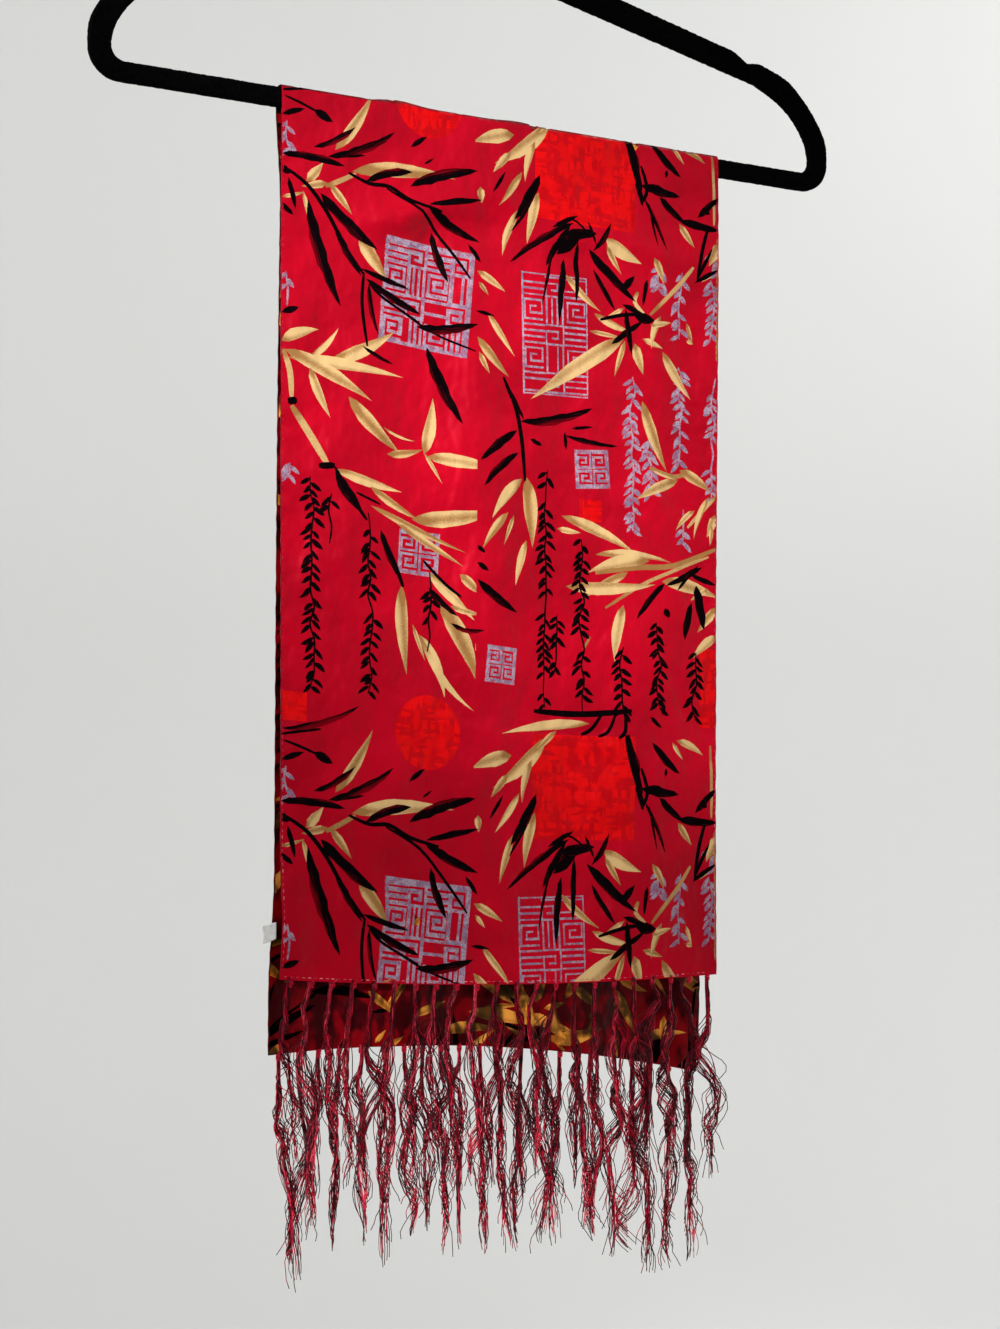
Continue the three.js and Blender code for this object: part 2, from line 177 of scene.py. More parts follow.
def tubes(paths, radii, sides):
    """Points and faces of round tubes along paths (tube, step, xyz), closed at both ends."""
    count, steps, _ = paths.shape
    along = unit(np.gradient(paths, axis=1) + 1e-9)
    across = unit(np.cross(along, (0.0, 1.0, 0.013)))
    out = np.cross(along, across)
    turns = np.arange(sides) / sides * 2 * math.pi
    ring = np.cos(turns)[:, None] * across[:, :, None, :] + np.sin(turns)[:, None] * out[:, :, None, :]
    points = (paths[:, :, None, :] + radii[:, :, None, None] * ring).reshape(-1, 3)
    first = (np.arange(count) * steps * sides)[:, None, None]
    low = first + (np.arange(steps - 1) * sides)[None, :, None] + np.arange(sides)[None, None, :]
    side_step = np.roll(np.arange(sides), -1) - np.arange(sides)
    high = low + side_step[None, None, :]
    quads = np.stack([low, high, high + sides, low + sides], axis=-1).reshape(-1, 4)
    start = first[:, :, 0] + np.arange(sides)[None, ::-1]
    end = first[:, :, 0] + (steps - 1) * sides + np.arange(sides)[None, :]
    return points, [*quads.tolist(), *start.tolist(), *end.tolist()]


# ---- How the cloth hangs ----


def length_at(fall, across):
    return FOLD_LENGTH + through(fall["hem"], across) - EDGE_ROUND


def billow(name, x, down):
    """How far the cloth stands off its vertical plane."""
    fall = FALLS[name]
    across = np.clip((x + fall["top_half"]) / (2 * fall["top_half"]), 0, 1)
    stand = mix(*fall["swing"], across) * (down / fall["hem"][0]) ** 1.5
    for middle, wide, out, start, end, lean in FOLDS[name]:
        share = np.clip((down - start) / (end - start), 0, 1)
        fade = np.sin(math.pi * np.minimum(share, 0.5)) * (1 - smooth((down - end) / FOLD_FADE + 1))
        stand = stand + out * fade * bell(x - middle - lean * (share - 0.5), wide)
    excess = stand - MOST_INWARD
    return MOST_INWARD + (excess + np.sqrt(excess * excess + INWARD_EASE)) / 2


def creases(s, t):
    """The finer creases and the seams' pucker, as a lift off the smooth surface."""
    lift = np.zeros_like(s)
    for middle_s, middle_t, heading, length, wide, out in CREASES:
        run, off = run_and_off(s - middle_s, t - middle_t, heading)
        wander = CREASE_WANDER * length * np.sin(run / length * 5 + middle_s)
        lift += out * bell(off - wander, wide) * np.cos(np.clip(run / length, -0.5, 0.5) * math.pi) ** 2
    edge = np.minimum(s, WIDTH - s)
    wave = np.sin(t / PUCKER_PITCH * 2 * math.pi + 2 * np.sin(t / 37))
    lift += PUCKER * wave * bell(edge, PUCKER_REACH)
    return lift * smooth((np.abs(t) - PLAIN_RIDGE) / CREASE_FADE)


def fall_points(name, s, along_cut):
    """Points of the smooth cloth of one fall, at a flat place s across and a length from the ridge."""
    fall = FALLS[name]
    across = s / WIDTH
    along = along_cut * length_at(fall, across) / fall["cut"]
    down = np.maximum(0, along - FOLD_LENGTH)
    drop = down / fall["hem"][0]
    foot = smooth((drop - WAIST_FOOT[0]) / (WAIST_FOOT[1] - WAIST_FOOT[0]))
    waist = fall["waist"] * smooth(down / WAIST_TOP) * (1 - foot)
    left = waist - mix(fall["top_half"], fall["left"], smooth(drop))
    right = mix(fall["top_half"], fall["right"], smooth(drop))
    x = mix(left, right, across)
    turn = np.clip((along - FOLD_FLAT) / (FOLD_LENGTH - FOLD_FLAT), 0, 1) * math.pi / 2
    rise = sum(up * bell(x - middle, wide) for middle, wide, up in RIDGE_BUMPS)
    out = np.minimum(along, FOLD_FLAT) + FOLD_RADIUS * np.sin(turn)
    out = out + billow(name, x, down) * smooth(along / BILLOW_FADE)
    height = BAR_TOP - EDGE_ROUND + (rise + FOLD_RADIUS) * np.cos(turn) - down
    return np.stack([CENTRE_X + x, fall["side"] * out, height], axis=-1)


def smooth_cloth(s, t):
    front = fall_points("front", s, np.maximum(t, 0))
    back = fall_points("back", s, np.maximum(-t, 0))
    return np.where((t >= 0)[..., None], front, back)


def outward(s, t, reach=0.4):
    across = smooth_cloth(s + reach, t) - smooth_cloth(s - reach, t)
    along = smooth_cloth(s, t + reach) - smooth_cloth(s, t - reach)
    return unit(np.cross(along, across))


def cloth(s, t, lift=0.0):
    """Points of the creased cloth, lifted off its middle surface."""
    s, t = np.asarray(s, dtype=float), np.asarray(t, dtype=float)
    rise = (creases(s, t) + lift)[..., None]
    return smooth_cloth(s, t) + rise * outward(s, t)


def cloth_normals(s, t, reach=0.5):
    across = cloth(s + reach, t) - cloth(s - reach, t)
    along = cloth(s, t + reach) - cloth(s, t - reach)
    return unit(np.cross(along, across))


# ---- The print ----

REPEAT = 336.0
PANEL_JOINT = 112.5
PRINT_START = 2.0  # the ridge lies this far into the first repeat
MARGIN = 0.6  # of plain cloth at the very edge

# Leaves: s, t of the base, heading in degrees (0 across to the right, 90 down), length, width, bend.
# They were charted leaf by leaf from a flattened view of the photograph with a 20 mm grid.
GOLD_LEFT = [
    (30, 32, -57, 40, 7, 0.05), (40, 42, -4, 61, 9, -0.05), (27, 50, 50, 20, 5, 0), (14, 51, -50, 15, 6, 0),
    (44, 75, 53, 28, 9, 0.02), (0, 61, -18, 14, 2.5, 0), (12, 56, 76, 20, 3, 0), (26, 50, 165, 15, 5, 0),
    (0, 137, -22, 23, 7, -0.05), (15, 145, -47, 26, 4, 0.05), (28, 144, -28, 42, 8, 0.04),
    (4, 145, 3, 66, 7, -0.02), (2, 141, 24, 54, 9, -0.04), (16, 149, 66, 28, 6, 0.02),
    (38, 162, 42, 40, 9, 0.03), (82, 188, -80, 31, 8, 0.03), (60, 190, -12, 22, 5, 0.05),
    (82, 187, 56, 19, 2.5, 0), (84, 189, 5, 42, 8, 0), (58, 176, 16, 20, 1.8, 0.06),
    (30, 201, 12, 40, 6, 0.03), (50, 208, 27, 33, 5, 0.04), (75, 223, -9, 52, 10, 0.03),
    (50, 218, 20, 60, 4, -0.01), (66, 226, 27, 44, 4.5, 0), (85, 250, 42, 36, 7, 0),
    (103, 250, 40, 16, 6, 0), (98, 267, 12, 18, 4, 0.05), (92, 266, 62, 46, 11, -0.04),
    (69, 258, 86, 47, 9, 0.02), (80, 283, 65, 36, 7, -0.06), (82, 285, 50, 48, 4.5, 0.08),
    (76, 278, 68, 20, 3, 0), (112, 286, 60, 12, 3.5, 0),
]
GOLD_RIGHT = [
    (158, -2, 141, 44, 9, -0.05), (136, 8, 163, 26, 9, 0.05), (134, 18, 131, 17, 5, 0),
    (149, 10, 105, 24, 5, 0.05), (141, 28, 126, 26, 4.5, -0.03), (137, 50, 108, 27, 5, 0.04),
    (151, 38, 103, 30, 7, 0.05), (115, 40, 85, 9, 5, 0), (113, 86, 28, 20, 5, 0), (114, 92, 48, 9, 3, 0),
    (119, 108, 52, 28, 4.5, 0), (113, 122, 45, 28, 6, 0.03), (114, 130, 60, 13, 4, 0),
    (185, 326, 173, 56, 6, 0.03), (165, 330, 140, 20, 4, 0), (237, 0, 52, 12, 3, 0),
    (240, -1, 24, 20, 5, -0.05), (241, 44, 52, 16, 5, 0), (193, 58, 28, 26, 8, 0.04),
    (194, 62, 58, 18, 4, 0), (168, 81, 40, 29, 5, 0.03), (186, 101, 18, 26, 5, 0.03),
    (183, 111, 5, 22, 3, 0), (206, 112, 146, 72, 11, 0.02), (206, 114, 108, 22, 4, 0),
    (212, 115, 72, 18, 7, 0), (217, 112, 18, 14, 4, 0), (229, 98, 108, 20, 5, 0.08),
    (222, 104, -12, 14, 4, 0), (223, 66, 60, 16, 5, -0.06), (230, 118, 53, 32, 7, 0.03),
    (246, 100, 70, 12, 3, 0), (246, 110, 20, 5, 3, 0), (205, 96, 150, 14, 3, 0), (268, 52, 118, 16, 7, 0),
    (265, 68, 140, 12, 2.5, 0), (144, 195, 84, 38, 10, -0.04), (141, 196, 130, 30, 7, 0.04),
    (132, 215, 128, 26, 5.5, 0.03), (136, 216, 112, 18, 3, 0), (144, 229, 106, 26, 5.5, 0.04),
    (217, 147, 67, 42, 8, 0.03), (241, 190, 156, 30, 7, 0.04), (242, 184, 28, 24, 7, -0.06),
    (222, 184, 16, 20, 2.2, 0.03), (253, 206, 138, 18, 4, 0.05), (262, 198, 112, 26, 4, 0.06),
    (266, 208, 112, 14, 6, 0), (264, 214, 96, 12, 3, 0), (167, 214, 22, 50, 7, -0.05),
    (164, 221, 6, 15, 4, 0), (188, 234, 3, 48, 5, -0.04), (222, 236, 168, 40, 8, 0.05),
    (208, 243, 152, 32, 6, 0.02), (170, 252, -3, 56, 8, 0.04), (205, 261, 100, 32, 8, 0.05),
    (230, 247, 12, 40, 9, -0.06), (262, 250, 150, 14, 4, 0), (268, 260, 132, 20, 6, 0),
    (268, 276, 142, 22, 6, 0.04),
]
INK_LEFT = [
    (0, 17, -20, 14, 3, 0), (18, 12, 26, 12, 4.5, 0), (18, 32, -31, 28, 3.5, 0.05),
    (26, 36, -26, 43, 4.5, 0.05), (36, 35, -12, 12, 1.6, 0), (0, 38, 3, 36, 4.5, -0.03),
    (48, 46, -18, 29, 5, -0.08), (74, 45, -19, 42, 6, -0.06), (84, 54, -12, 33, 3.5, 0),
    (83, 55, 25, 36, 5, 0.04), (87, 68, 70, 28, 4.5, 0.04), (108, 72, 52, 12, 3, 0),
    (74, 24, -37, 12, 2.6, 0), (82, 32, -35, 7, 1.4, 0), (22, 56, 38, 42, 6.5, 0.04),
    (15, 60, 71, 58, 6.5, 0.04), (4, 50, 76, 17, 3.2, 0), (0, 45, 30, 6, 4, 0), (0, 64, 40, 9, 3, 0),
    (30, 72, 58, 30, 4, 0.03), (45, 93, 15, 30, 3.2, 0), (48, 98, 25, 36, 4.5, 0.03),
    (78, 120, -8, 36, 5, 0.05), (50, 100, 78, 28, 3, 0.04), (0, 122, -22, 11, 3.5, 0),
    (84, 130, 63, 45, 6, 0.03), (46, 134, 24, 20, 2.2, 0.05), (30, 202, 52, 26, 6, 0.04),
    (56, 230, 64, 28, 4, 0.03), (85, 258, 40, 22, 3.5, 0.03), (98, 276, 8, 20, 3, 0.1),
    (0, 337, -18, 46, 3.2, 0.06), (112, 108, 8, 12, 2, 0),
]
INK_RIGHT = [
    (152, 28, 121, 32, 5.5, -0.05), (147, 44, 125, 22, 2, 0), (131, 29, 124, 16, 2, 0),
    (206, -3, 70, 26, 5, -0.03), (213, 22, 74, 16, 3.5, 0), (216, 25, 8, 26, 5.5, 0.03),
    (223, 0, 42, 26, 5, 0.03), (233, 14, 100, 5, 2, 0), (228, 30, 38, 22, 4.5, 0.05),
    (240, 42, 6, 28, 5, 0.02), (218, 32, 64, 32, 2.5, -0.04), (221, 34, 78, 26, 1.6, 0),
    (253, 39, -42, 20, 4, 0), (256, 33, 30, 6, 4, 0), (252, 76, -62, 24, 2.4, 0),
    (251, 77, -30, 20, 2.6, 0), (173, 52, 146, 48, 4, 0.05), (171, 54, 122, 28, 4.5, 0.03),
    (178, 57, 138, 20, 7, 0), (176, 62, 92, 34, 3.4, 0), (168, 72, 96, 36, 4, 0.03),
    (163, 62, 104, 40, 1.8, 0), (183, 65, 42, 40, 5.5, 0.03), (186, 76, 58, 26, 3.4, 0.04),
    (186, 66, -58, 20, 3.4, 0.06), (168, 59, -8, 20, 6, 0), (182, 50, 66, 14, 2, 0),
    (160, 56, -28, 18, 3, 0), (197, 117, -36, 26, 3.6, 0), (212, 100, 4, 13, 6, 0),
    (204, 86, -48, 12, 4, 0), (220, 78, 100, 16, 3, 0), (206, 96, 80, 26, 3.5, 0.03),
    (204, 94, 20, 16, 3.2, 0), (140, 165, -14, 47, 5, 0.06), (138, 170, 142, 30, 5, 0.03),
    (139, 182, 138, 30, 4.5, 0.04), (130, 146, 56, 22, 3.2, 0), (146, 174, 22, 8, 2.6, 0),
    (168, 170, 6, 34, 3, 0.04), (168, 168, 84, 10, 2.2, 0), (172, 166, -8, 14, 1.8, 0),
    (113, 243, 32, 8, 3, 0), (113, 252, 33, 30, 5, 0.03), (113, 234, 40, 6, 2.5, 0),
    (258, 238, 156, 28, 4, 0), (232, 248, 132, 28, 4, 0.04), (240, 252, -44, 22, 2.2, 0),
    (254, 248, 78, 26, 6, 0.02), (251, 258, 104, 22, 5, 0.03), (250, 242, 20, 18, 3, 0),
    (232, 262, 60, 6, 4, 0), (222, 322, 38, 10, 2.6, 0),
]

# Stems and drawn lines: ink, width, then the places they run through.
STEMS = [
    ("ink", 1.6, (0, 4), (10, 2), (22, 0)), ("ink", 1.5, (2, 7), (12, 10), (20, 13)),
    ("ink", 2.2, (38, 43), (50, 47), (62, 47), (75, 53), (92, 57)),
    ("ink", 1.8, (60, 48), (80, 58), (96, 75), (109, 91)),
    ("ink", 2.4, (2, 45), (15, 53), (26, 66), (37, 84), (47, 96)),
    ("ink", 2.0, (47, 95), (46, 112), (49, 134)), ("ink", 1.6, (50, 100), (58, 107), (80, 118)),
    ("ink", 1.3, (55, 105), (85, 121), (112, 130)), ("gold", 2.6, (25, 52), (33, 48), (42, 43)),
    ("gold", 3.2, (1, 141), (5, 152), (6, 166)), ("gold", 4.0, (6, 170), (16, 184), (26, 199)),
    ("ink", 4.0, (4, 168), (9, 167)), ("ink", 3.6, (21, 200), (30, 199)),
    ("ink", 2.4, (30, 200), (38, 213), (48, 226)), ("ink", 1.4, (42, 212), (56, 217)),
    ("ink", 2.6, (60, 238), (66, 250), (70, 259)), ("ink", 1.8, (82, 244), (94, 255), (104, 262)),
    ("ink", 4.5, (207, -4), (211, 12), (216, 28)), ("ink", 2.4, (216, 14), (220, 27), (216, 36)),
    ("ink", 2.4, (260, 44), (256, 58), (253, 74)), ("ink", 3.4, (150, -16), (180, -15), (210, -17)),
    ("ink", 2.2, (192, -15), (186, -7), (180, -4)), ("ink", 2.0, (200, -15), (196, -6), (190, -3)),
    ("ink", 2.4, (206, -15), (206, -6), (202, -2)), ("ink", 1.3, (160, 56), (172, 50), (184, 58)),
    ("ink", 2.2, (190, 104), (204, 100), (219, 98)), ("gold", 2.4, (222, 98), (240, 80), (250, 68)),
    ("gold", 2.6, (222, 184), (238, 188), (250, 184)), ("gold", 2.2, (268, 196), (258, 206), (248, 216)),
    ("gold", 3.0, (188, 244), (214, 240), (238, 238), (268, 227)),
    ("gold", 2.0, (194, 263), (216, 250), (240, 240), (262, 232)),
    ("gold", 1.8, (263, 2), (264, 22), (264, 42)), ("gold", 1.5, (266, 50), (266.5, 90), (266, 120)),
    ("gold", 2.4, (214, 86), (212, 92), (218, 98)),
    ("ink", 2.6, (129, 142), (137, 158), (141, 176), (143, 197)), ("gold", 1.4, (181, 286), (185, 279)),
]

# Thin leafy vines, where the bought cloth has writing: ink, s, from t, to t.
VINES = [
    ("lilac", 211, 134, 220), ("lilac", 241, 72, 110), ("lilac", 242, 126, 182), ("lilac", 245, 206, 226),
    ("lilac", 263, 74, 110), ("lilac", 264, 130, 200), ("lilac", 3, 100, 118), ("lilac", 4, 20, 36),
    ("lilac", 4, 200, 208), ("lilac", 222, 160, 200), ("lilac", 228, 70, 84), ("lilac", 266, 58, 70),
    ("ink", 17, 206, 316), ("ink", 50, 222, 316), ("ink", 86, 250, 292), ("ink", 156, 190, 318),
    ("ink", 180, 226, 320), ("ink", 204, 284, 322), ("ink", 228, 270, 318), ("ink", 252, 286, 322),
    ("ink", 27, 214, 240), ("ink", 164, 268, 300),
]
VINE_PITCH = 8.6
BARE_SHARE = 0.14  # of a vine has no leaves
STEM_SHADE_WIDTH = 400.0  # a stem is shaded as the middle of a wide leaf

# Squares of lattice work, where the bought cloth has seals: s, t of the corner, width, height, columns, rows,
# tilt, and how heavy its lines are.
FRETS = [
    (61, 74, 50, 55, 4, 4, 5, 0.155), (141, 83, 40, 66, 3, 5, -1, 0.075),
    (175, 178, 20, 20, 2, 2, -4, 0.14), (68, 229, 23, 22, 2, 2, 3, 0.12), (120, 287, 17, 18, 2, 2, 4, 0.15),
]
# Plain vermilion fields: s, t of the middle, width, height. A round one has its height left out.
FIELDS = [
    (181, 24, 63, 56), (85, 334, 39), (85, -2, 39), (185, 210, 14, 12), (7, 325, 15, 15), (263, 306, 14, 44),
]

# Leaves on the inner face just above the back hem, which shows below the front one.
INNER_GOLD = [
    (104, -498, 3, 36, 6, 0.05), (122, -487, -7, 46, 7.5, 0.04), (150, -472, -70, 28, 8, 0.03),
    (168, -499, 14, 38, 7.5, -0.04), (200, -478, 152, 26, 6, 0), (214, -468, -58, 27, 7, 0.04),
    (232, -493, 16, 28, 5, 0.05), (84, -489, 18, 24, 4.5, 0), (58, -476, -40, 20, 4.5, 0),
    (246, -478, -94, 18, 4, 0), (158, -486, -30, 26, 6, 0.04),
]

LAYERS = ["vermilion", "lilac", "gold", "ink"]
SLOTS = ["ground", *LAYERS]
INNER_SHIFT = (-52, 75)  # of the repeat on the inner face

# The cut cloth's edges: axis, limit, and whether the cloth lies below the limit.
CUT_EDGES = [
    (0, WIDTH - MARGIN, True), (0, MARGIN, False),
    (1, FRONT_CUT - MARGIN, True), (1, MARGIN - BACK_CUT, False),
]
LEAST_AREA = 0.05  # what the clipping leaves of a motif is dropped below this

GOLD_SLIMMER = 0.88
LEAF_FORM = (0.70, 1.0)  # where a leaf is widest, and how slender it is
BRUSH_FORM = (0.86, 0.62)  # the same for a leaf drawn with one press of a brush
LEAF_STEP = 4.5  # of length to each pair of outline points
GOLD_RAGGED = 0.06  # how uneven an outline is
INK_RAGGED = 0.2
VINE_RAGGED = 0.1
VINE_STEM = 1.15
VINE_LEAF = ((6.0, 8.8), (2.1, 3.0), (-0.08, 0.08))  # least and most length, width and bend


def leaf_shape(row, ragged, rng, form=LEAF_FORM):
    """A bamboo leaf's outline: widest nearer its base, with a long tip."""
    widest, slender = form
    s, t, heading, length, width, bend = row
    steps = max(3, min(11, round(length / LEAF_STEP)))
    shares = [(step + 1) / (steps + 1) for step in range(steps)]
    bend += rng.uniform(-0.02, 0.02)
    near, far = [], []
    for share in shares:
        half = width / 2 * math.sin(math.pi * share ** widest) ** slender
        middle = bend * length * 4 * share * (1 - share)
        near.append((share * length, middle - half * (1 + rng.uniform(-ragged, ragged))))
        far.append((share * length, middle + half * (1 + rng.uniform(-ragged, ragged))))
    outline = [(0, 0), *near, (length, 0), *reversed(far)]
    return placed(outline, s, t, heading)


def placed(outline, s, t, heading):
    turn = math.radians(heading)
    c, d = math.cos(turn), math.sin(turn)
    return [(s + a * c - b * d, t + a * d + b * c) for a, b in outline]


def curve_through(places, steps=4):
    """A smooth line through places, by Catmull-Rom."""
    ends = [places[0], *places, places[-1]]
    points = []
    for before, start, end, after in zip(ends, ends[1:], ends[2:], ends[3:]):
        for step in range(steps):
            u = step / steps
            weights = (-u + 2 * u**2 - u**3, 2 - 5 * u**2 + 3 * u**3, u + 4 * u**2 - 3 * u**3, u**3 - u**2)
            pulls = [*zip(weights, (before, start, end, after))]
            points.append(tuple(sum(w * p[k] for w, p in pulls) / 2 for k in (0, 1)))
    return [*points, places[-1]]


def stroke_shape(places, width, taper=0.45):
    """The outline of a brush line through places, thinner at its ends."""
    line = np.array(places, dtype=float)
    along = unit(np.gradient(line, axis=0) + 1e-9)
    side = np.stack([-along[:, 1], along[:, 0]], axis=1)
    shares = np.linspace(0, 1, len(line))
    half = (width / 2 * (1 - taper * np.abs(2 * shares - 1) ** 3))[:, None]
    return [*map(tuple, line - side * half), *map(tuple, (line + side * half)[::-1])]


def clipped(outline, axis, limit, below):
    """The part of an outline on one side of a line of constant s or t."""
    sign = 1 if below else -1
    kept = []
    for start, end in zip(outline, [*outline[1:], outline[0]]):
        a, b = sign * (limit - start[axis]), sign * (limit - end[axis])
        if a >= 0:
            kept.append(start)
        if (a > 0 > b) or (a < 0 < b):
            share = a / (a - b)
            kept.append(tuple(mix(start[k], end[k], share) for k in (0, 1)))
    return kept


def vine(ink, s, start, end, rng):
    """A thin vine that wanders down the cloth, with small hanging leaves to both sides of it."""
    steps = max(2, round((end - start) / VINE_PITCH))
    places = [(s + rng.uniform(-1.8, 1.8), mix(start, end, step / steps)) for step in range(steps + 1)]
    shade_frame = (*places[0], 90, end - start, STEM_SHADE_WIDTH)
    motifs = [(ink, stroke_shape(curve_through(places), VINE_STEM), shade_frame)]
    for above, below in zip(places, places[1:]):
        if rng.random() < BARE_SHARE:
            continue
        leaves = rng.randint(3, 4)
        for leaf in range(leaves):
            share = (leaf + rng.random() * 0.5) / leaves
            base_s, base_t = mix(above[0], below[0], share), mix(above[1], below[1], share)
            heading = 90 + (-1) ** leaf * rng.uniform(36, 60)
            length, width, bend = (rng.uniform(*limits) for limits in VINE_LEAF)
            row = (base_s, base_t, heading, length, width, bend)
            motifs.append((ink, leaf_shape(row, VINE_RAGGED, rng, BRUSH_FORM), row[:5]))
    return motifs


# Lines of one cell of lattice work, in shares of the cell.
WOVEN = [[(0, share), (1, share)] for share in (0.125, 0.375, 0.625, 0.875)]
COILED = [
    [(0.1, 0.1), (0.9, 0.1), (0.9, 0.9), (0.1, 0.9), (0.1, 0.36), (0.64, 0.36), (0.64, 0.64), (0.38, 0.64)],
]
LOST_SHARE = 0.08  # of the bars are worn away


def fret(row, rng):
    """A bordered square of lattice work: basket weave and coils by turns, or just coils in a small one."""
    s, t, width, height, columns, rows, tilt, heavy = row
    cell_s, cell_t = width / columns, height / rows
    line = min(cell_s, cell_t) * heavy
    runs = [[(0, 0), (width, 0), (width, height), (0, height), (0, 0)]]
    for column in range(columns):
        for level in range(rows):
            coiled = columns == 2 or (column + level) % 2 == 1
            quarter = level % 2 * 2 if coiled else column % 2
            for run in COILED if coiled else WOVEN:
                if coiled or rng.random() > LOST_SHARE:
                    turned = [cell_turned(place, quarter) for place in run]
                    runs.append([((column + a) * cell_s, (level + b) * cell_t) for a, b in turned])
    motifs = []
    for run in runs:
        for start, end in zip(run, run[1:]):
            bar = bar_shape(start, end, line * rng.uniform(0.7, 1.25))
            motifs.append(("lilac", placed(bar, s, t, tilt), (s, t, tilt, width, height)))
    return motifs


def cell_turned(place, quarter):
    a, b = place
    for _ in range(quarter):
        a, b = 1 - b, a
    return a, b


def bar_shape(start, end, width):
    (a, b), (c, d) = start, end
    low_a, high_a = min(a, c) - width / 2, max(a, c) + width / 2
    low_b, high_b = min(b, d) - width / 2, max(b, d) + width / 2
    return [(low_a, low_b), (high_a, low_b), (high_a, high_b), (low_a, high_b)]


def field(row):
    s, t, width = row[:3]
    if len(row) == 3:
        turns = [step / 36 * 2 * math.pi for step in range(36)]
        outline = [(s + width / 2 * math.cos(turn), t + width / 2 * math.sin(turn)) for turn in turns]
        return "vermilion", outline, (s - width / 2, t, 0, width, width)
    height = row[3]
    outline = placed([(0, 0), (width, 0), (width, height), (0, height)], s - width / 2, t - height / 2, 1)
    return "vermilion", outline, (s - width / 2, t, 0, width, height)


def one_repeat(rng):
    """Every motif of one repeat of the print: its ink, its outline and the frame of its own shading."""
    motifs = [field(row) for row in FIELDS]
    for row in FRETS:
        motifs += fret(row, rng)
    for ink, s, start, end in VINES:
        motifs += vine(ink, s, start, end, rng)
    for ink, width, *places in STEMS:
        first, last = places[0], places[-1]
        heading = math.degrees(math.atan2(last[1] - first[1], last[0] - first[0]))
        frame_of = (*first, heading, math.dist(first, last), STEM_SHADE_WIDTH)
        motifs.append((ink, stroke_shape(curve_through(places), width), frame_of))
    for rows, on_left in ((GOLD_LEFT, True), (GOLD_RIGHT, False)):
        for row in rows:
            slimmer = (*row[:4], row[4] * GOLD_SLIMMER, row[5])
            outline = clipped(leaf_shape(slimmer, GOLD_RAGGED, rng), 0, PANEL_JOINT, on_left)
            if len(outline) > 2:
                motifs.append(("gold", outline, row[:5]))
    for row in (*INK_LEFT, *INK_RIGHT):
        motifs.append(("ink", leaf_shape(row, INK_RAGGED, rng, BRUSH_FORM), row[:5]))
    return in_layers(motifs)


def in_layers(motifs):
    return sorted(motifs, key=lambda motif: LAYERS.index(motif[0]))


def laid_out(motifs, shift_s, shift_t):
    """The repeats that fall on the cut cloth, clipped to it."""
    found = []
    for index, (ink, outline, (s, t, *form)) in enumerate(motifs):
        for across in (0, 1) if shift_s else (0,):
            for row in range(-2, 3):
                move_s = shift_s + across * WIDTH
                move_t = PRINT_START + shift_t + row * REPEAT
                moved = on_the_cut([(a + move_s, b + move_t) for a, b in outline])
                if moved:
                    tone = ((index * 37 + row * 17) % 100) / 100  # uneven from one motif to the next
                    found.append((ink, moved, (s + move_s, t + move_t, *form), tone))
    return in_layers(found)


def on_the_cut(outline):
    """The part of an outline that lies on the cut cloth."""
    for edge in CUT_EDGES:
        outline = clipped(outline, *edge) if len(outline) > 2 else []
    return outline if len(outline) > 2 and abs(shoelace(outline)) > LEAST_AREA else []


def shoelace(outline):
    pairs = zip(outline, [*outline[1:], outline[0]])
    return sum(a[0] * b[1] - b[0] * a[1] for a, b in pairs) / 2


# The cloth's own grid: its rows' pitch, and where they are closer together.
GRID_PITCH = 5.2
FOLD_REACH = 8  # to each side of the ridge
FOLD_PITCH = 0.8
PRESSED_FRONT = 318  # lines pressed across the cloth, as in CREASES
PRESSED_BACK = 322
PRESSED_REACH = 5


def grid_lines():
    """Where the cloth's own grid runs: closer together over the bar, at the seams and at pressed lines."""
    columns = [0, 0.9, 2.6, *np.linspace(6, WIDTH - 6, 52), WIDTH - 2.6, WIDTH - 0.9, WIDTH]
    rows = [*np.arange(-FOLD_REACH, FOLD_REACH + 0.1, FOLD_PITCH)]
    for sign, end, pressed in ((1, FRONT_CUT, PRESSED_FRONT), (-1, BACK_CUT, PRESSED_BACK)):
        places = np.linspace(FOLD_REACH, end, round((end - FOLD_REACH) / GRID_PITCH) + 1)[1:]
        rows += [sign * place for place in places if abs(place - pressed) > PRESSED_REACH]
        rows += [sign * (pressed + step) for step in np.arange(-4.5, 4.6, 1.5)]
    return columns, sorted(rows)


def printed_side(motifs, columns, rows):
    """The flat cloth cut up along its motifs: places, triangles, a motif for each triangle, and the rim."""
    places = [Vector((s, t)) for t in rows for s in columns]
    faces = []
    for _, outline, _, _ in motifs:
        ordered = outline if shoelace(outline) > 0 else outline[::-1]
        faces.append(list(range(len(places), len(places) + len(ordered))))
        places += [Vector(point) for point in ordered]
    made = delaunay_2d_cdt(places, [], faces, 0, 1e-4)
    where = {}
    for index, origins in enumerate(made[3]):
        for origin in origins:
            where[origin] = index
    last_column, last_row, wide = len(columns) - 1, len(rows) - 1, len(columns)
    rim = [*range(wide)]
    rim += [r * wide + last_column for r in range(1, last_row + 1)]
    rim += [last_row * wide + c for c in range(last_column - 1, -1, -1)]
    rim += [r * wide for r in range(last_row - 1, 0, -1)]
    flat = np.array([(p.x, p.y) for p in made[0]])
    winners = [max(origins) if origins else -1 for origins in made[5]]
    return flat, made[2], winners, [where[i] for i in rim]


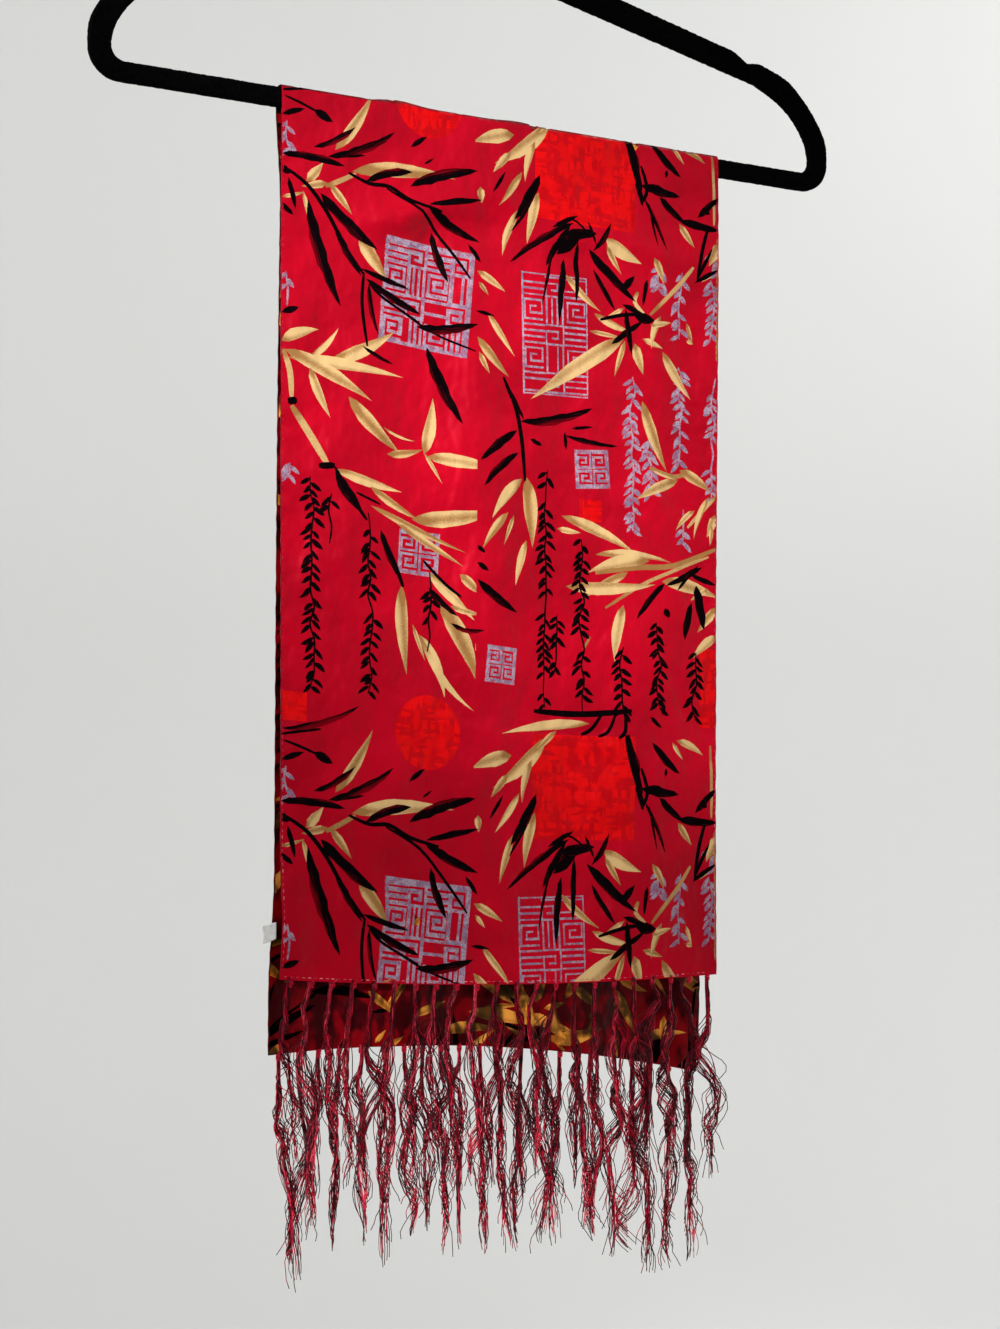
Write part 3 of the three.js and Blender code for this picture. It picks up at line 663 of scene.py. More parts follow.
def scarf_cloth():
    rng = random.Random(11)
    repeat = one_repeat(rng)
    leaves_only = [motif for motif in repeat if motif[0] in ("gold", "ink")]
    outer = laid_out(repeat, 0, 0)
    inner = laid_out(leaves_only, *INNER_SHIFT)
    for row in INNER_GOLD:
        inner.append(("gold", on_the_cut(leaf_shape(row, GOLD_RAGGED, rng)), row[:5], rng.random()))
    columns, rows = grid_lines()
    points, normals, faces, slots, flats, leaf, rims = [], [], [], [], [], [], []
    count = 0
    for side, motifs in ((1, outer), (-1, inner)):
        flat, triangles, winners, rim = printed_side(motifs, columns, rows)
        s, t = flat[:, 0], flat[:, 1]
        normal = cloth_normals(s, t)
        points.append(cloth(s, t, side * CLOTH_HALF))
        normals.append(normal * side)
        flats.append(np.stack([s, t, np.full_like(s, side)], axis=1))
        for triangle, winner in zip(triangles, winners):
            corners = triangle if side < 0 else triangle[::-1]
            faces.append([corner + count for corner in corners])
            slots.append(SLOTS.index(motifs[winner][0]) if winner >= 0 else 0)
            leaf += [leaf_place(motifs, winner, *flat[corner]) for corner in corners]
        rims.append([corner + count for corner in rim])
        count += len(flat)
    for a, b, c, d in zip(rims[0], [*rims[0][1:], rims[0][0]], [*rims[1][1:], rims[1][0]], rims[1]):
        faces.append([a, b, c, d])
        slots.append(0)
        leaf += [(0, 0, 0, 1)] * 4
    made = mesh_object("scarf_cloth", np.concatenate(points), faces)
    mesh = made.data
    mesh.polygons.foreach_set("material_index", slots)
    add_attribute(mesh, "flat", "FLOAT_VECTOR", "POINT", "vector", np.concatenate(flats))
    add_attribute(mesh, "leaf", "FLOAT_COLOR", "CORNER", "color", np.array(leaf))
    for slot in SLOTS:
        mesh.materials.append(PRINT_MATERIALS[slot]())
    mesh.normals_split_custom_set_from_vertices(np.concatenate(normals).tolist())
    return made


def leaf_place(motifs, winner, s, t):
    """Where a point lies on its motif: the share of its length, the share across it, and its tone."""
    if winner < 0:
        return 0, 0, 0, 1
    _, _, (base_s, base_t, heading, length, width), tone = motifs[winner]
    run, off = run_and_off(s - base_s, t - base_t, heading)
    return run / length, off / width + 0.5, tone, 1


def add_attribute(mesh, name, kind, domain, field_name, values):
    attribute = mesh.attributes.new(name, kind, domain)
    attribute.data.foreach_set(field_name, np.asarray(values, dtype=np.float32).ravel())


# ---- Materials ----


def new_material(name):
    material = bpy.data.materials.new(name)
    material.use_nodes = True
    tree = material.node_tree
    return material, tree, tree.nodes["Principled BSDF"]


def set_inputs(tree, made, inputs):
    """Gives each input a value, or links it to another node's output."""
    for key, value in inputs.items():
        if isinstance(value, bpy.types.NodeSocket):
            tree.links.new(value, made.inputs[key])
        else:
            made.inputs[key].default_value = value


def node(tree, kind, inputs=None, **settings):
    made = tree.nodes.new(kind)
    for key, value in settings.items():
        setattr(made, key, value)
    set_inputs(tree, made, inputs or {})
    return made


def maths(tree, operation, first, second=0.0, clamp=False):
    inputs = {0: first, 1: second}
    return node(tree, "ShaderNodeMath", inputs, operation=operation, use_clamp=clamp).outputs[0]


def times(tree, first, second):
    return maths(tree, "MULTIPLY", first, second)


def plus(tree, first, second, clamp=False):
    return maths(tree, "ADD", first, second, clamp)


def minus(tree, first, second, clamp=False):
    return maths(tree, "SUBTRACT", first, second, clamp)


def blend(tree, factor, first, second, kind="MIX"):
    """Two colours mixed."""
    inputs = {0: factor, 6: first, 7: second}
    return node(tree, "ShaderNodeMix", inputs, data_type="RGBA", blend_type=kind).outputs[2]


def ramp(tree, value, low, high):
    """0 below low, 1 above high, and smooth between."""
    inputs = {"Value": value, "From Min": low, "From Max": high}
    return node(tree, "ShaderNodeMapRange", inputs, interpolation_type="SMOOTHSTEP").outputs[0]


def noise(tree, where, scale, detail=2.0, stretch=(1, 1, 1)):
    moved = node(tree, "ShaderNodeMapping", {"Vector": where, "Scale": stretch})
    inputs = {"Vector": moved.outputs[0], "Scale": scale, "Detail": detail}
    return node(tree, "ShaderNodeTexNoise", inputs).outputs[0]


def ribs(tree, inputs):
    return node(tree, "ShaderNodeTexWave", inputs, bands_direction="DIAGONAL").outputs["Fac"]


def parts(tree, vector):
    return [*node(tree, "ShaderNodeSeparateXYZ", {0: vector}).outputs]


def mesh_value(tree, name, output="Vector"):
    """What the mesh's own attribute says at each place."""
    return node(tree, "ShaderNodeAttribute", attribute_name=name).outputs[output]


def own_place(tree):
    return node(tree, "ShaderNodeTexCoord").outputs["Object"]


def bumped(tree, heights):
    """The normal under bumps one over the other: (height, strength, depth in mm)."""
    normal = None
    for height, strength, depth in heights:
        inputs = {"Height": height, "Strength": strength, "Distance": depth * MM}
        if normal:
            inputs["Normal"] = normal
        normal = node(tree, "ShaderNodeBump", inputs).outputs[0]
    return normal


CRIMSON = linear(182, 0, 26)
CRIMSON_DEEP = linear(158, 0, 21)
CRIMSON_PALE = linear(170, 10, 38)
VERMILION = linear(212, 4, 8)
VERMILION_DEEP = linear(168, 0, 14)
GOLD_PALE = linear(206, 170, 116)
GOLD_DEEP = linear(134, 86, 36)
LILAC = linear(152, 142, 160)
LILAC_DEEP = linear(122, 106, 132)
INK_BLACK = linear(5, 2, 4)


def satin(name, paint, roughness=0.4, gloss=0.6, tint=(1.0, 0.08, 0.14, 1), inner_painted_shade=(0.54, 0.32, 0.25, 1)):
    """Printed satin. paint(tree, flat, leaf) gives the dye's colour, and the last colour is painted shade on
    the inner face.
    """
    material, tree, shader = new_material(name)
    flat, leaf = mesh_value(tree, "flat"), mesh_value(tree, "leaf")
    side = parts(tree, flat)[2]
    # Painted shade: the inner face takes the last colour, darkening in soft blotches to a tenth of it.
    deepest_painted_shade = (*(0.1 * part for part in inner_painted_shade[:3]), 1)
    painted_shade_blotch = ramp(tree, noise(tree, flat, 0.075, 3, (1, 0.7, 1)), 0.44, 0.58)
    shade = blend(tree, painted_shade_blotch, deepest_painted_shade, inner_painted_shade)
    shade = blend(tree, ramp(tree, side, 0.5, -0.5), (1, 1, 1, 1), shade)
    # Painted shade: two thin dark lines along the fold over the bar.
    shade = blend(tree, painted_fold_shade(tree, flat), shade, (0.22, 0.16, 0.2, 1))
    slub = noise(tree, flat, 0.22, 3, (1, 9, 1))
    twill = ribs(tree, {"Vector": flat, "Scale": 0.9, "Distortion": 0.4, "Detail": 1.0})
    rumple = noise(tree, flat, 0.032, 3, (1, 0.7, 1))
    set_inputs(tree, shader, {
        "Base Color": blend(tree, 1.0, paint(tree, flat, leaf), shade, "MULTIPLY"),
        "Roughness": plus(tree, roughness - 0.05, times(tree, slub, 0.1)),
        "Specular IOR Level": gloss, "Specular Tint": tint, "Anisotropic": 0.35,
        "Normal": bumped(tree, [(rumple, 0.9, 8.0), (slub, 0.22, 0.25), (twill, 0.12, 0.06)]),
    })
    return material


def painted_fold_shade(tree, flat):
    """Near 1 along two thin lines of painted shade where the cloth turns round the bar, 0 elsewhere."""
    away = maths(tree, "ABSOLUTE", parts(tree, flat)[1])
    wander = times(tree, noise(tree, flat, 0.12, 2, (1, 0.1, 1)), 1.6)
    line = times(tree, ramp(tree, plus(tree, away, wander), 5.6, 4.3), ramp(tree, away, 0.9, 1.9))
    return times(tree, line, 0.9)


def paint_ground(tree, flat, leaf=None):
    cloud = noise(tree, flat, 0.016, 2)
    base = blend(tree, ramp(tree, cloud, 0.35, 0.7), CRIMSON_DEEP, CRIMSON)
    grain = noise(tree, flat, 2.2, 1)
    return blend(tree, times(tree, grain, 0.16), base, CRIMSON_PALE)


def paint_vermilion(tree, flat, leaf):
    """Short dull dashes across and down, as of a worn stamp."""
    across = ramp(tree, noise(tree, flat, 0.2, 2, (0.3, 1.7, 1)), 0.5, 0.56)
    down = ramp(tree, noise(tree, flat, 0.2, 2, (1.7, 0.3, 1)), 0.48, 0.54)
    worn = ramp(tree, noise(tree, flat, 0.11, 4), 0.38, 0.6)
    mottle = times(tree, maths(tree, "MAXIMUM", across, down), plus(tree, worn, 0.25, clamp=True))
    return blend(tree, times(tree, mottle, 0.8), VERMILION, VERMILION_DEEP)


def paint_lilac(tree, flat, leaf):
    body = blend(tree, ramp(tree, noise(tree, flat, 0.25, 2), 0.4, 0.6), LILAC, LILAC_DEEP)
    worn = ramp(tree, noise(tree, flat, 1.5, 3), 0.52, 0.6)
    return blend(tree, times(tree, worn, 0.75), body, paint_ground(tree, flat))


def paint_gold(tree, flat, leaf):
    """Pale gold, browner at a leaf's base and along its middle, and more so on some leaves than on others."""
    along, across, tone = parts(tree, leaf)
    middle = plus(tree, 0.3, times(tree, tone, 0.4))
    shaded = ramp(tree, maths(tree, "ABSOLUTE", minus(tree, across, middle)), 0.0, 0.42)
    broken = plus(tree, shaded, minus(tree, noise(tree, flat, 0.9, 3), 0.5))
    base = ramp(tree, along, 0.3, 0.0)
    lots = plus(tree, 0.45, times(tree, maths(tree, "FRACT", times(tree, tone, 7.3)), 0.75))
    depth = minus(tree, plus(tree, base, lots), broken, clamp=True)
    return blend(tree, times(tree, depth, 0.85), GOLD_PALE, GOLD_DEEP)


def paint_ink(tree, flat, leaf):
    """Black, with dry streaks that let the ground through towards a leaf's edges and tip."""
    along, across, tone = parts(tree, leaf)
    away = maths(tree, "ABSOLUTE", minus(tree, across, 0.5))
    brush = node(tree, "ShaderNodeCombineXYZ", {0: along, 1: times(tree, across, 7.0), 2: tone})
    streak = noise(tree, brush.outputs[0], 2.6, 3)
    dry = plus(tree, times(tree, away, 0.5), times(tree, along, 0.12))
    bare = ramp(tree, plus(tree, streak, dry), 0.84, 0.96)
    return blend(tree, times(tree, bare, 0.4), INK_BLACK, paint_ground(tree, flat))


PRINT_MATERIALS = {
    "ground": lambda: satin("satin_ground", paint_ground),
    "vermilion": lambda: satin("satin_vermilion", paint_vermilion, tint=(1.0, 0.1, 0.1, 1)),
    "lilac": lambda: satin("satin_lilac", paint_lilac, 0.5, 0.2, (0.9, 0.75, 1.0, 1)),
    # The gold's last colour is its own painted shade on the inner face.
    "gold": lambda: satin("satin_gold", paint_gold, 0.44, 0.25, (1.0, 0.8, 0.5, 1), (1.4, 0.84, 0.27, 1)),
    "ink": lambda: satin("satin_ink", paint_ink, 0.6, 0.03, (1.0, 0.5, 0.55, 1)),
}


def thread_material(name, dark, middle, light):
    """Silky thread: its tone runs from dark over middle to light, and the light colour is a painted
    highlight.
    """
    material, tree, shader = new_material(name)
    tone, place = mesh_value(tree, "tone", "Fac"), own_place(tree)
    colour = blend(tree, ramp(tree, tone, 0.0, 0.5), dark, middle)
    colour = blend(tree, ramp(tree, tone, 0.55, 1.0), colour, light)
    fleck = ramp(tree, noise(tree, place, 420, 2), 0.48, 0.66)
    twist = ribs(tree, {"Vector": place, "Scale": 900.0, "Distortion": 1.0})
    set_inputs(tree, shader, {
        "Base Color": blend(tree, times(tree, fleck, 0.6), colour, dark),
        "Roughness": 0.4, "Specular IOR Level": 0.5, "Specular Tint": (1.0, 0.22, 0.3, 1),
        "Normal": bumped(tree, [(twist, 0.3, 0.05)]),
    })
    return material


def flock_material():
    material, tree, shader = new_material("flock_black")
    place = own_place(tree)
    nap, patch = noise(tree, place, 1500, 2), noise(tree, place, 60, 3)
    worn = times(tree, ramp(tree, patch, 0.55, 0.8), 0.3)
    colour = blend(tree, ramp(tree, nap, 0.35, 0.75), (0.0004, 0.0004, 0.0006, 1), (0.0024, 0.0024, 0.003, 1))
    set_inputs(tree, shader, {
        "Base Color": blend(tree, worn, colour, (0.005, 0.005, 0.006, 1)),
        "Roughness": 0.95, "Specular IOR Level": 0.01, "Sheen Weight": 0.003, "Sheen Roughness": 0.6,
        "Normal": bumped(tree, [(patch, 0.3, 0.4), (nap, 0.8, 0.3)]),
    })
    return material


def wire_material():
    material, tree, shader = new_material("plated_wire")
    place = own_place(tree)
    haze, drawn = noise(tree, place, 260, 4), noise(tree, place, 900, 2, (1, 1, 0.08))
    set_inputs(tree, shader, {
        "Base Color": blend(tree, ramp(tree, haze, 0.4, 0.7), (0.76, 0.77, 0.79, 1), (0.62, 0.63, 0.65, 1)),
        "Roughness": plus(tree, 0.1, times(tree, haze, 0.16)), "Metallic": 1.0,
        "Normal": bumped(tree, [(drawn, 0.08, 0.02)]),
    })
    return material


def tape_material():
    material, tree, shader = new_material("woven_tape")
    place = own_place(tree)
    weave = node(tree, "ShaderNodeTexChecker", {"Vector": place, "Scale": 3200.0}).outputs["Fac"]
    soil = noise(tree, place, 340, 3)
    set_inputs(tree, shader, {
        "Base Color": blend(tree, ramp(tree, soil, 0.45, 0.75), (0.93, 0.92, 0.89, 1), (0.76, 0.73, 0.71, 1)),
        "Roughness": 0.75, "Sheen Weight": 0.1,
        "Normal": bumped(tree, [(weave, 0.25, 0.06), (soil, 0.2, 0.2)]),
    })
    return material


# ---- Fringe ----

TUFTS = 22
THREADS_IN_TUFT = 28
THREAD_STEPS = 28
THREAD_SIDES = 3
THREAD_RADIUS = 0.23
THREAD_THINNING = 0.2  # share of its radius that a thread loses by its end
BUNDLE_RADIUS = 1.0
LOOSE_RADIUS = 0.3
OPENS_EARLY = (0.06, 0.26)  # share of a tuft's length
OPENS_LATE = (0.2, 0.4)
LOOSE_SHARE = 0.6  # of a tuft's threads spread where the tuft opens
STRAY_SHARE = 0.05  # of them curl right out of it
LONG_TUFTS = {("back", 1): 1.1, ("back", 19): 1.04}  # their share of the fringe's length
DARK_STRANDS = 0.24  # share of the strands that are nearly black
DARK_TONES = (0.02, 0.2)
LIT_TONES = (0.4, 1.0)
# Dark, middle and light thread colours; the light pink is a painted highlight.
FRINGE_TONES = (linear(9, 0, 2), linear(192, 5, 40), linear(244, 76, 100))
GUIDE_KINKS = 4
GUIDE_KINK = 3.2
WILD_FROM = 17  # from this tuft on to the right, the fringe is more tousled
WILD_KINKS = 1.9  # its kinks reach this many times as far
WILD_STRAYS = 3  # and this many times as many of its threads stray
CLING_SHARE = 0.6  # of the neighbouring tufts cling together
THREAD_CLEAR = 0.4  # how far the threads stay off the bar's plane
KNOT_TOP = 0.4  # above the hem
KNOT_HEIGHT = 3.4
KNOT_RADIUS = 1.05
KNOT_TONE = 0.6
KNOT_STEPS = 34
KNOT_TURNS = 3.4
KNOT_THREAD = 0.42
KNOT_SIDES = 6
HEM_TUCK = 1.5  # how far the threads start above the hem, inside the seam
FRONT_SWEEP = -5.0  # sideways sweep of the front tufts at the left edge
TUFT_PITCH = WIDTH / TUFTS


def hem_place(name, across):
    fall = FALLS[name]
    sign = 1 if name == "front" else -1
    return cloth(np.array([across * WIDTH]), np.array([sign * fall["cut"]]))[0]


def pinches(rng):
    """Where neighbouring tufts cling together: for each tuft, rows of place, width and pull."""
    rows = [[] for _ in range(TUFTS)]
    for tuft in range(TUFTS - 1):
        if rng.random() < CLING_SHARE:
            place, width = rng.uniform(0.25, 0.9), rng.uniform(0.07, 0.2)
            pull = TUFT_PITCH * rng.uniform(0.25, 0.5)
            rows[tuft].append((place, width, pull))
            rows[tuft + 1].append((place, width, -pull))
    return rows


def tuft_guide(name, tuft, clings, rng, shares):
    """The middle line of a tuft below its knot: it wanders, kinks, and clings to its neighbours."""
    lean = rng.uniform(-4.0, 4.0) + 2.0 * math.sin(tuft * 1.3 + FALLS[name]["side"])
    x = lean * shares ** 1.3
    for place, width, pull in clings:
        x = x + pull * bell(shares - place, width)
    wild = tuft >= WILD_FROM
    for _ in range(GUIDE_KINKS):
        place = rng.uniform(0.12, 0.95)
        width = rng.uniform(0.05, 0.12) if wild else rng.uniform(0.03, 0.09)
        reach = rng.uniform(-GUIDE_KINK, GUIDE_KINK) * (WILD_KINKS if wild else 1)
        x = x + reach * bell(shares - place, width)
    if name == "front":
        x = x + FRONT_SWEEP * (1 - tuft / TUFTS) * bell(shares - 0.4, 0.3)
    y = rng.uniform(-1.2, 1.2) * shares + 0.9 * np.sin(shares * 5 + tuft)
    length = FALLS[name]["fringe"] * LONG_TUFTS.get((name, tuft), rng.uniform(0.87, 1.03))
    return np.stack([x, y, -length * shares], axis=1)


def openings(name, tuft, rng):
    """Where a tuft opens and closes again on its way down: rows of from, to and half width.

    The front ones open below the back fall's hem, but for the last, which hangs beside that fall.
    """
    rows = []
    early = name == "back" or tuft == TUFTS - 1
    place = rng.uniform(*(OPENS_EARLY if early else OPENS_LATE))
    while place < 0.9:
        length = rng.uniform(0.16, 0.4)
        rows.append((place, place + length, rng.choice((1.2, 3.6, 5.4, 7.6)) * rng.uniform(0.8, 1.15)))
        place += length + rng.uniform(-0.03, 0.06)
    return rows


def tuft_threads(name, tuft, clings, rng):
    """A tuft's threads: some lie in two or three strands, and the loose ones spread where the tuft opens."""
    shares = np.linspace(0, 1, THREAD_STEPS)
    guide = tuft_guide(name, tuft, clings, rng, shares)
    opened = openings(name, tuft, rng)
    strands = [[rng.uniform(-0.9, 0.9) for _ in opened] for _ in range(rng.choice((2, 2, 3)))]
    strand_tones = [rng.uniform(*(LIT_TONES if rng.random() > DARK_STRANDS else DARK_TONES)) for _ in strands]
    jitter = np.random.default_rng(rng.randrange(10**6))
    free = smooth(shares * 5)
    paths, tones, radii = [], [], []
    for _ in range(THREADS_IN_TUFT):
        loose = rng.random() < LOOSE_SHARE
        strand = rng.randrange(len(strands))
        # Loose threads are darker than the strands, partly dark thread and partly painted shade; lit strands
        # reach into the painted highlight.
        tone = rng.uniform(-0.18, 0.28) if loose else strand_tones[strand] + rng.uniform(-0.3, 0.15)
        turn, reach = rng.uniform(0, 2 * math.pi), math.sqrt(rng.random())
        spin = turn + rng.uniform(2.0, 7.0) * shares
        x = guide[:, 0] + BUNDLE_RADIUS * reach * np.cos(spin)
        y = guide[:, 1] + 0.7 * BUNDLE_RADIUS * reach * np.sin(spin)
        for (start, end, half), where in zip(opened, strands[strand]):
            share = np.clip((shares - start) / (end - start), 0, 1)
            out = rng.uniform(-1, 1) if loose else 0.6 * where + rng.uniform(-0.14, 0.14)
            x = x + out * half * np.sin(math.pi * share) ** 0.8
        if loose and rng.random() < STRAY_SHARE / LOOSE_SHARE * (WILD_STRAYS if tuft >= WILD_FROM else 1):
            leave, away = rng.uniform(0.35, 0.7), rng.choice((-1, 1)) * rng.uniform(6, 19)
            x = x + away * smooth((shares - leave) / (1 - leave)) * np.cos(shares * 2)
            y = y + rng.uniform(-2, 2) * smooth((shares - leave) / 0.3)
        kink = rng.uniform(0.12, 0.42) if loose else rng.uniform(0.08, 0.3)
        x = x + free * kink * jitter.normal(size=THREAD_STEPS)
        y = y + free * kink * 0.6 * jitter.normal(size=THREAD_STEPS)
        own = rng.uniform(0.74, 1.07) if loose else rng.uniform(0.84, 1.03)
        paths.append(np.stack([x, y, guide[:, 2] * own], axis=1))
        tones.append(np.clip(tone + 0.2 * jitter.normal(size=THREAD_STEPS), 0, 1))
        radii.append(LOOSE_RADIUS if loose else THREAD_RADIUS)
    root = hem_place(name, (tuft + 0.5) / TUFTS) + (0, 0, HEM_TUCK)
    return root + np.array(paths), tones, radii


def kept_apart(name, paths):
    """Front threads stay in front of the bar's plane, and back threads behind it."""
    if name == "front":
        paths[:, :, 1] = np.minimum(paths[:, :, 1], -THREAD_CLEAR)
    else:
        paths[:, :, 1] = np.maximum(paths[:, :, 1], THREAD_CLEAR)
    return paths


def knot_path(name, tuft, rng):
    """The turns of thread that tie a tuft just below the hem."""
    root = hem_place(name, (tuft + 0.5) / TUFTS)
    shares = np.linspace(0, 1, KNOT_STEPS)
    turns = shares * KNOT_TURNS * 2 * math.pi + rng.uniform(0, 6)
    radius = KNOT_RADIUS * (0.75 + 0.35 * np.sin(math.pi * shares))
    z = KNOT_TOP - KNOT_HEIGHT * shares + 0.4 * np.sin(turns + 1)
    return root + np.stack([radius * np.cos(turns), radius * np.sin(turns), z], axis=1)


def fringe(name):
    rng = random.Random(f"{name} fringe")
    clings = pinches(rng)
    all_paths, tones, radii, knots = [], [], [], []
    for tuft in range(TUFTS):
        paths, own_tones, own_radii = tuft_threads(name, tuft, clings[tuft], rng)
        all_paths.append(paths)
        tones += own_tones
        radii += own_radii
        knots.append(knot_path(name, tuft, rng))
    paths = kept_apart(name, np.concatenate(all_paths))
    thinning = 1 - THREAD_THINNING * np.linspace(0, 1, THREAD_STEPS)
    points, faces = tubes(paths, np.array(radii)[:, None] * thinning[None, :], THREAD_SIDES)
    tone = np.repeat(np.concatenate(tones), THREAD_SIDES)
    knot_points, knot_faces = tubes(np.array(knots), np.full((TUFTS, KNOT_STEPS), KNOT_THREAD), KNOT_SIDES)
    start = len(points)
    faces += [[corner + start for corner in face] for face in knot_faces]
    tone = np.concatenate([tone, np.full(len(knot_points), KNOT_TONE)])
    made = mesh_object(f"{name}_threads", np.concatenate([points, knot_points]), faces)
    add_attribute(made.data, "tone", "FLOAT", "POINT", "value", tone)
    made.data.materials.append(thread_material(f"{name}_thread", *FRINGE_TONES))
    return made


# ---- Sewing ----

STITCH = 1.9
STITCH_PITCH = 3.4
STITCH_RADIUS = 0.21
STITCH_STEPS = 5
STITCH_SIDES = 5
STITCH_SINK = 0.06  # into the cloth
SEAM_FAINT = 0.25  # tone of the side seams near the bar
SEAM_FAINT_TO = 320.0  # from the ridge
SEAM_FADE = 90.0
SEAM_INSET = 1.1
HEM_INSET = 1.6
RIDGE_BARE = 10  # no stitch shows within this of the ridge
# Dark, middle and light stitch colours; the whitish pink is pale thread brightened into a painted highlight.
STITCH_TONES = (linear(110, 8, 26), linear(206, 60, 84), linear(244, 176, 184))


def stitch_paths():
    """Running stitches along both side seams and both hems: s, t of the middle, and the way each runs."""
    rows = []
    for s in (SEAM_INSET, WIDTH - SEAM_INSET):
        for t in np.arange(12 - BACK_CUT, FRONT_CUT - 4, STITCH_PITCH):
            if abs(t) > RIDGE_BARE:
                rows.append((s, t, 0.0, 1.0))
    for t in (FRONT_CUT - HEM_INSET, HEM_INSET - BACK_CUT):
        for s in np.arange(3, WIDTH - 3, STITCH_PITCH):
            rows.append((s, t, 1.0, 0.0))
    return np.array(rows)


def seam_stitches():
    rows = stitch_paths()
    rng = np.random.default_rng(5)
    rows[:, 0] += rng.uniform(-0.12, 0.12, len(rows))
    shares = np.linspace(-0.5, 0.5, STITCH_STEPS)
    s = rows[:, 0:1] + rows[:, 2:3] * shares * STITCH
    t = rows[:, 1:2] + rows[:, 3:4] * shares * STITCH
    lift = CLOTH_HALF + STITCH_RADIUS * np.cos(shares * math.pi) * 1.1 - STITCH_SINK
    paths = cloth(s, t, lift[None, :] * np.ones_like(s))
    radii = STITCH_RADIUS * np.cos(shares * 2.2)[None, :] * np.ones((len(rows), 1))
    points, faces = tubes(paths, radii, STITCH_SIDES)
    made = mesh_object("seam_stitches", points, faces)
    shown = smooth((np.abs(rows[:, 1]) - SEAM_FAINT_TO) / SEAM_FADE)
    seen = np.where(rows[:, 2] > 0.5, 1.0, SEAM_FAINT + (1 - SEAM_FAINT) * shown)
    tone = np.repeat(rng.uniform(0.35, 1.0, len(rows)) * seen, STITCH_STEPS * STITCH_SIDES)
    add_attribute(made.data, "tone", "FLOAT", "POINT", "value", tone)
    made.data.materials.append(thread_material("seam_thread", *STITCH_TONES))
    return made


# ---- Care label ----

TAPE_HALF = 0.3
TAPE_CURL = 1.1
TAPE_TILT = 13.0  # degrees
TAPE_WIDTH = 7.6
TAPE_HEIGHT = 8.6
TAPE_TUCK = 0.5  # past its solid, into the seam
TAPE_RAISE = 1.4  # above its solid's middle
TAPE_COLUMNS = 12
TAPE_ROWS = 14


def care_tape():
    """A blank folded tape that curls a little where it leaves the seam."""
    low, high = (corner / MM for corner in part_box("care_label"))
    root_x, root_z = high.x + TAPE_TUCK, (low.z + high.z) / 2 + TAPE_RAISE
    turn = math.radians(TAPE_TILT)
    points, faces = [], []
    for face in (1, -1):
        for row in range(TAPE_ROWS + 1):
            for column in range(TAPE_COLUMNS + 1):
                u, v = column / TAPE_COLUMNS, row / TAPE_ROWS
                a = (u - 1) * TAPE_WIDTH + 0.35 * math.sin(v * 5) * (1 - u)
                b = (0.5 - v) * TAPE_HEIGHT + 0.4 * (1 - u) * math.sin(v * 3 + 1)
                x = root_x + a * math.cos(turn) - b * math.sin(turn) * (1 - u)
                z = root_z + a * math.sin(turn) + b * math.cos(turn) - 0.5 * (1 - u)
                curl = TAPE_CURL * (1 - u) ** 2 * math.cos(v * 2.2)
                y = (low.y + high.y) / 2 - curl + face * TAPE_HALF * (1 - 0.5 * abs(2 * v - 1) ** 6)
                points.append((x, y, z))
    wide = TAPE_COLUMNS + 1
    back = wide * (TAPE_ROWS + 1)
    for row in range(TAPE_ROWS):
        for column in range(TAPE_COLUMNS):
            a = row * wide + column
            faces.append((a, a + 1, a + wide + 1, a + wide))
            faces.append((back + a, back + a + wide, back + a + wide + 1, back + a + 1))
        a, b = row * wide, row * wide + TAPE_COLUMNS
        faces.append((a, a + wide, back + a + wide, back + a))
        faces.append((b + wide, b, back + b, back + b + wide))
    for column in range(TAPE_COLUMNS):
        a, b = column, TAPE_ROWS * wide + column
        faces.append((a + 1, a, back + a, back + a + 1))
        faces.append((b, b + 1, back + b + 1, back + b))
    made = mesh_object("care_tape", points, faces)
    made.data.materials.append(tape_material())
    return made


# ---- Hanger ----

HOOK_RADIUS = 21.0
HOOK_CENTRE = -19.0
WIRE_RADIUS = 2.0
FLOCK_VOXEL = 1.15
FLOCK_FUZZ = 0.16
FLOCK_SOFTENING = 3  # rounds
WIRE_SIDES = 24
WIRE_END = (0.05, 0.7, 0.92, 0.99)  # shares of the wire's radius at its rounded end


def flocked_frame():
    """The moulding with the short nap of its flock: rounded, and not quite even."""
    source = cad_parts["hanger_frame"]
    made = in_scene("flocked_frame", source.data.copy())
    work = bmesh.new()
    work.from_mesh(made.data)
    bmesh.ops.remove_doubles(work, verts=work.verts, dist=0.01 * MM)
    work.to_mesh(made.data)
    work.free()
    remesh = made.modifiers.new("voxels", "REMESH")
    remesh.mode = "VOXEL"
    remesh.voxel_size = FLOCK_VOXEL * MM
    remesh.use_smooth_shade = True
    soften = made.modifiers.new("soften", "SMOOTH")
    soften.iterations = FLOCK_SOFTENING
    apply_modifiers(made)
    rng = np.random.default_rng(3)
    mesh = made.data
    places = np.empty(len(mesh.vertices) * 3)
    mesh.vertices.foreach_get("co", places)
    normals = np.empty_like(places)
    mesh.vertices.foreach_get("normal", normals)
    lifts = np.repeat(rng.uniform(-1, 1, len(mesh.vertices)), 3)
    mesh.vertices.foreach_set("co", places + normals * lifts * FLOCK_FUZZ * MM)
    mesh.materials.clear()
    mesh.materials.append(flock_material())
    mesh.update()
    return made


def apply_modifiers(piece):
    graph = bpy.context.evaluated_depsgraph_get()
    mesh = bpy.data.meshes.new_from_object(piece.evaluated_get(graph))
    piece.modifiers.clear()
    piece.data = mesh
    mesh.polygons.foreach_set("use_smooth", [True] * len(mesh.polygons))


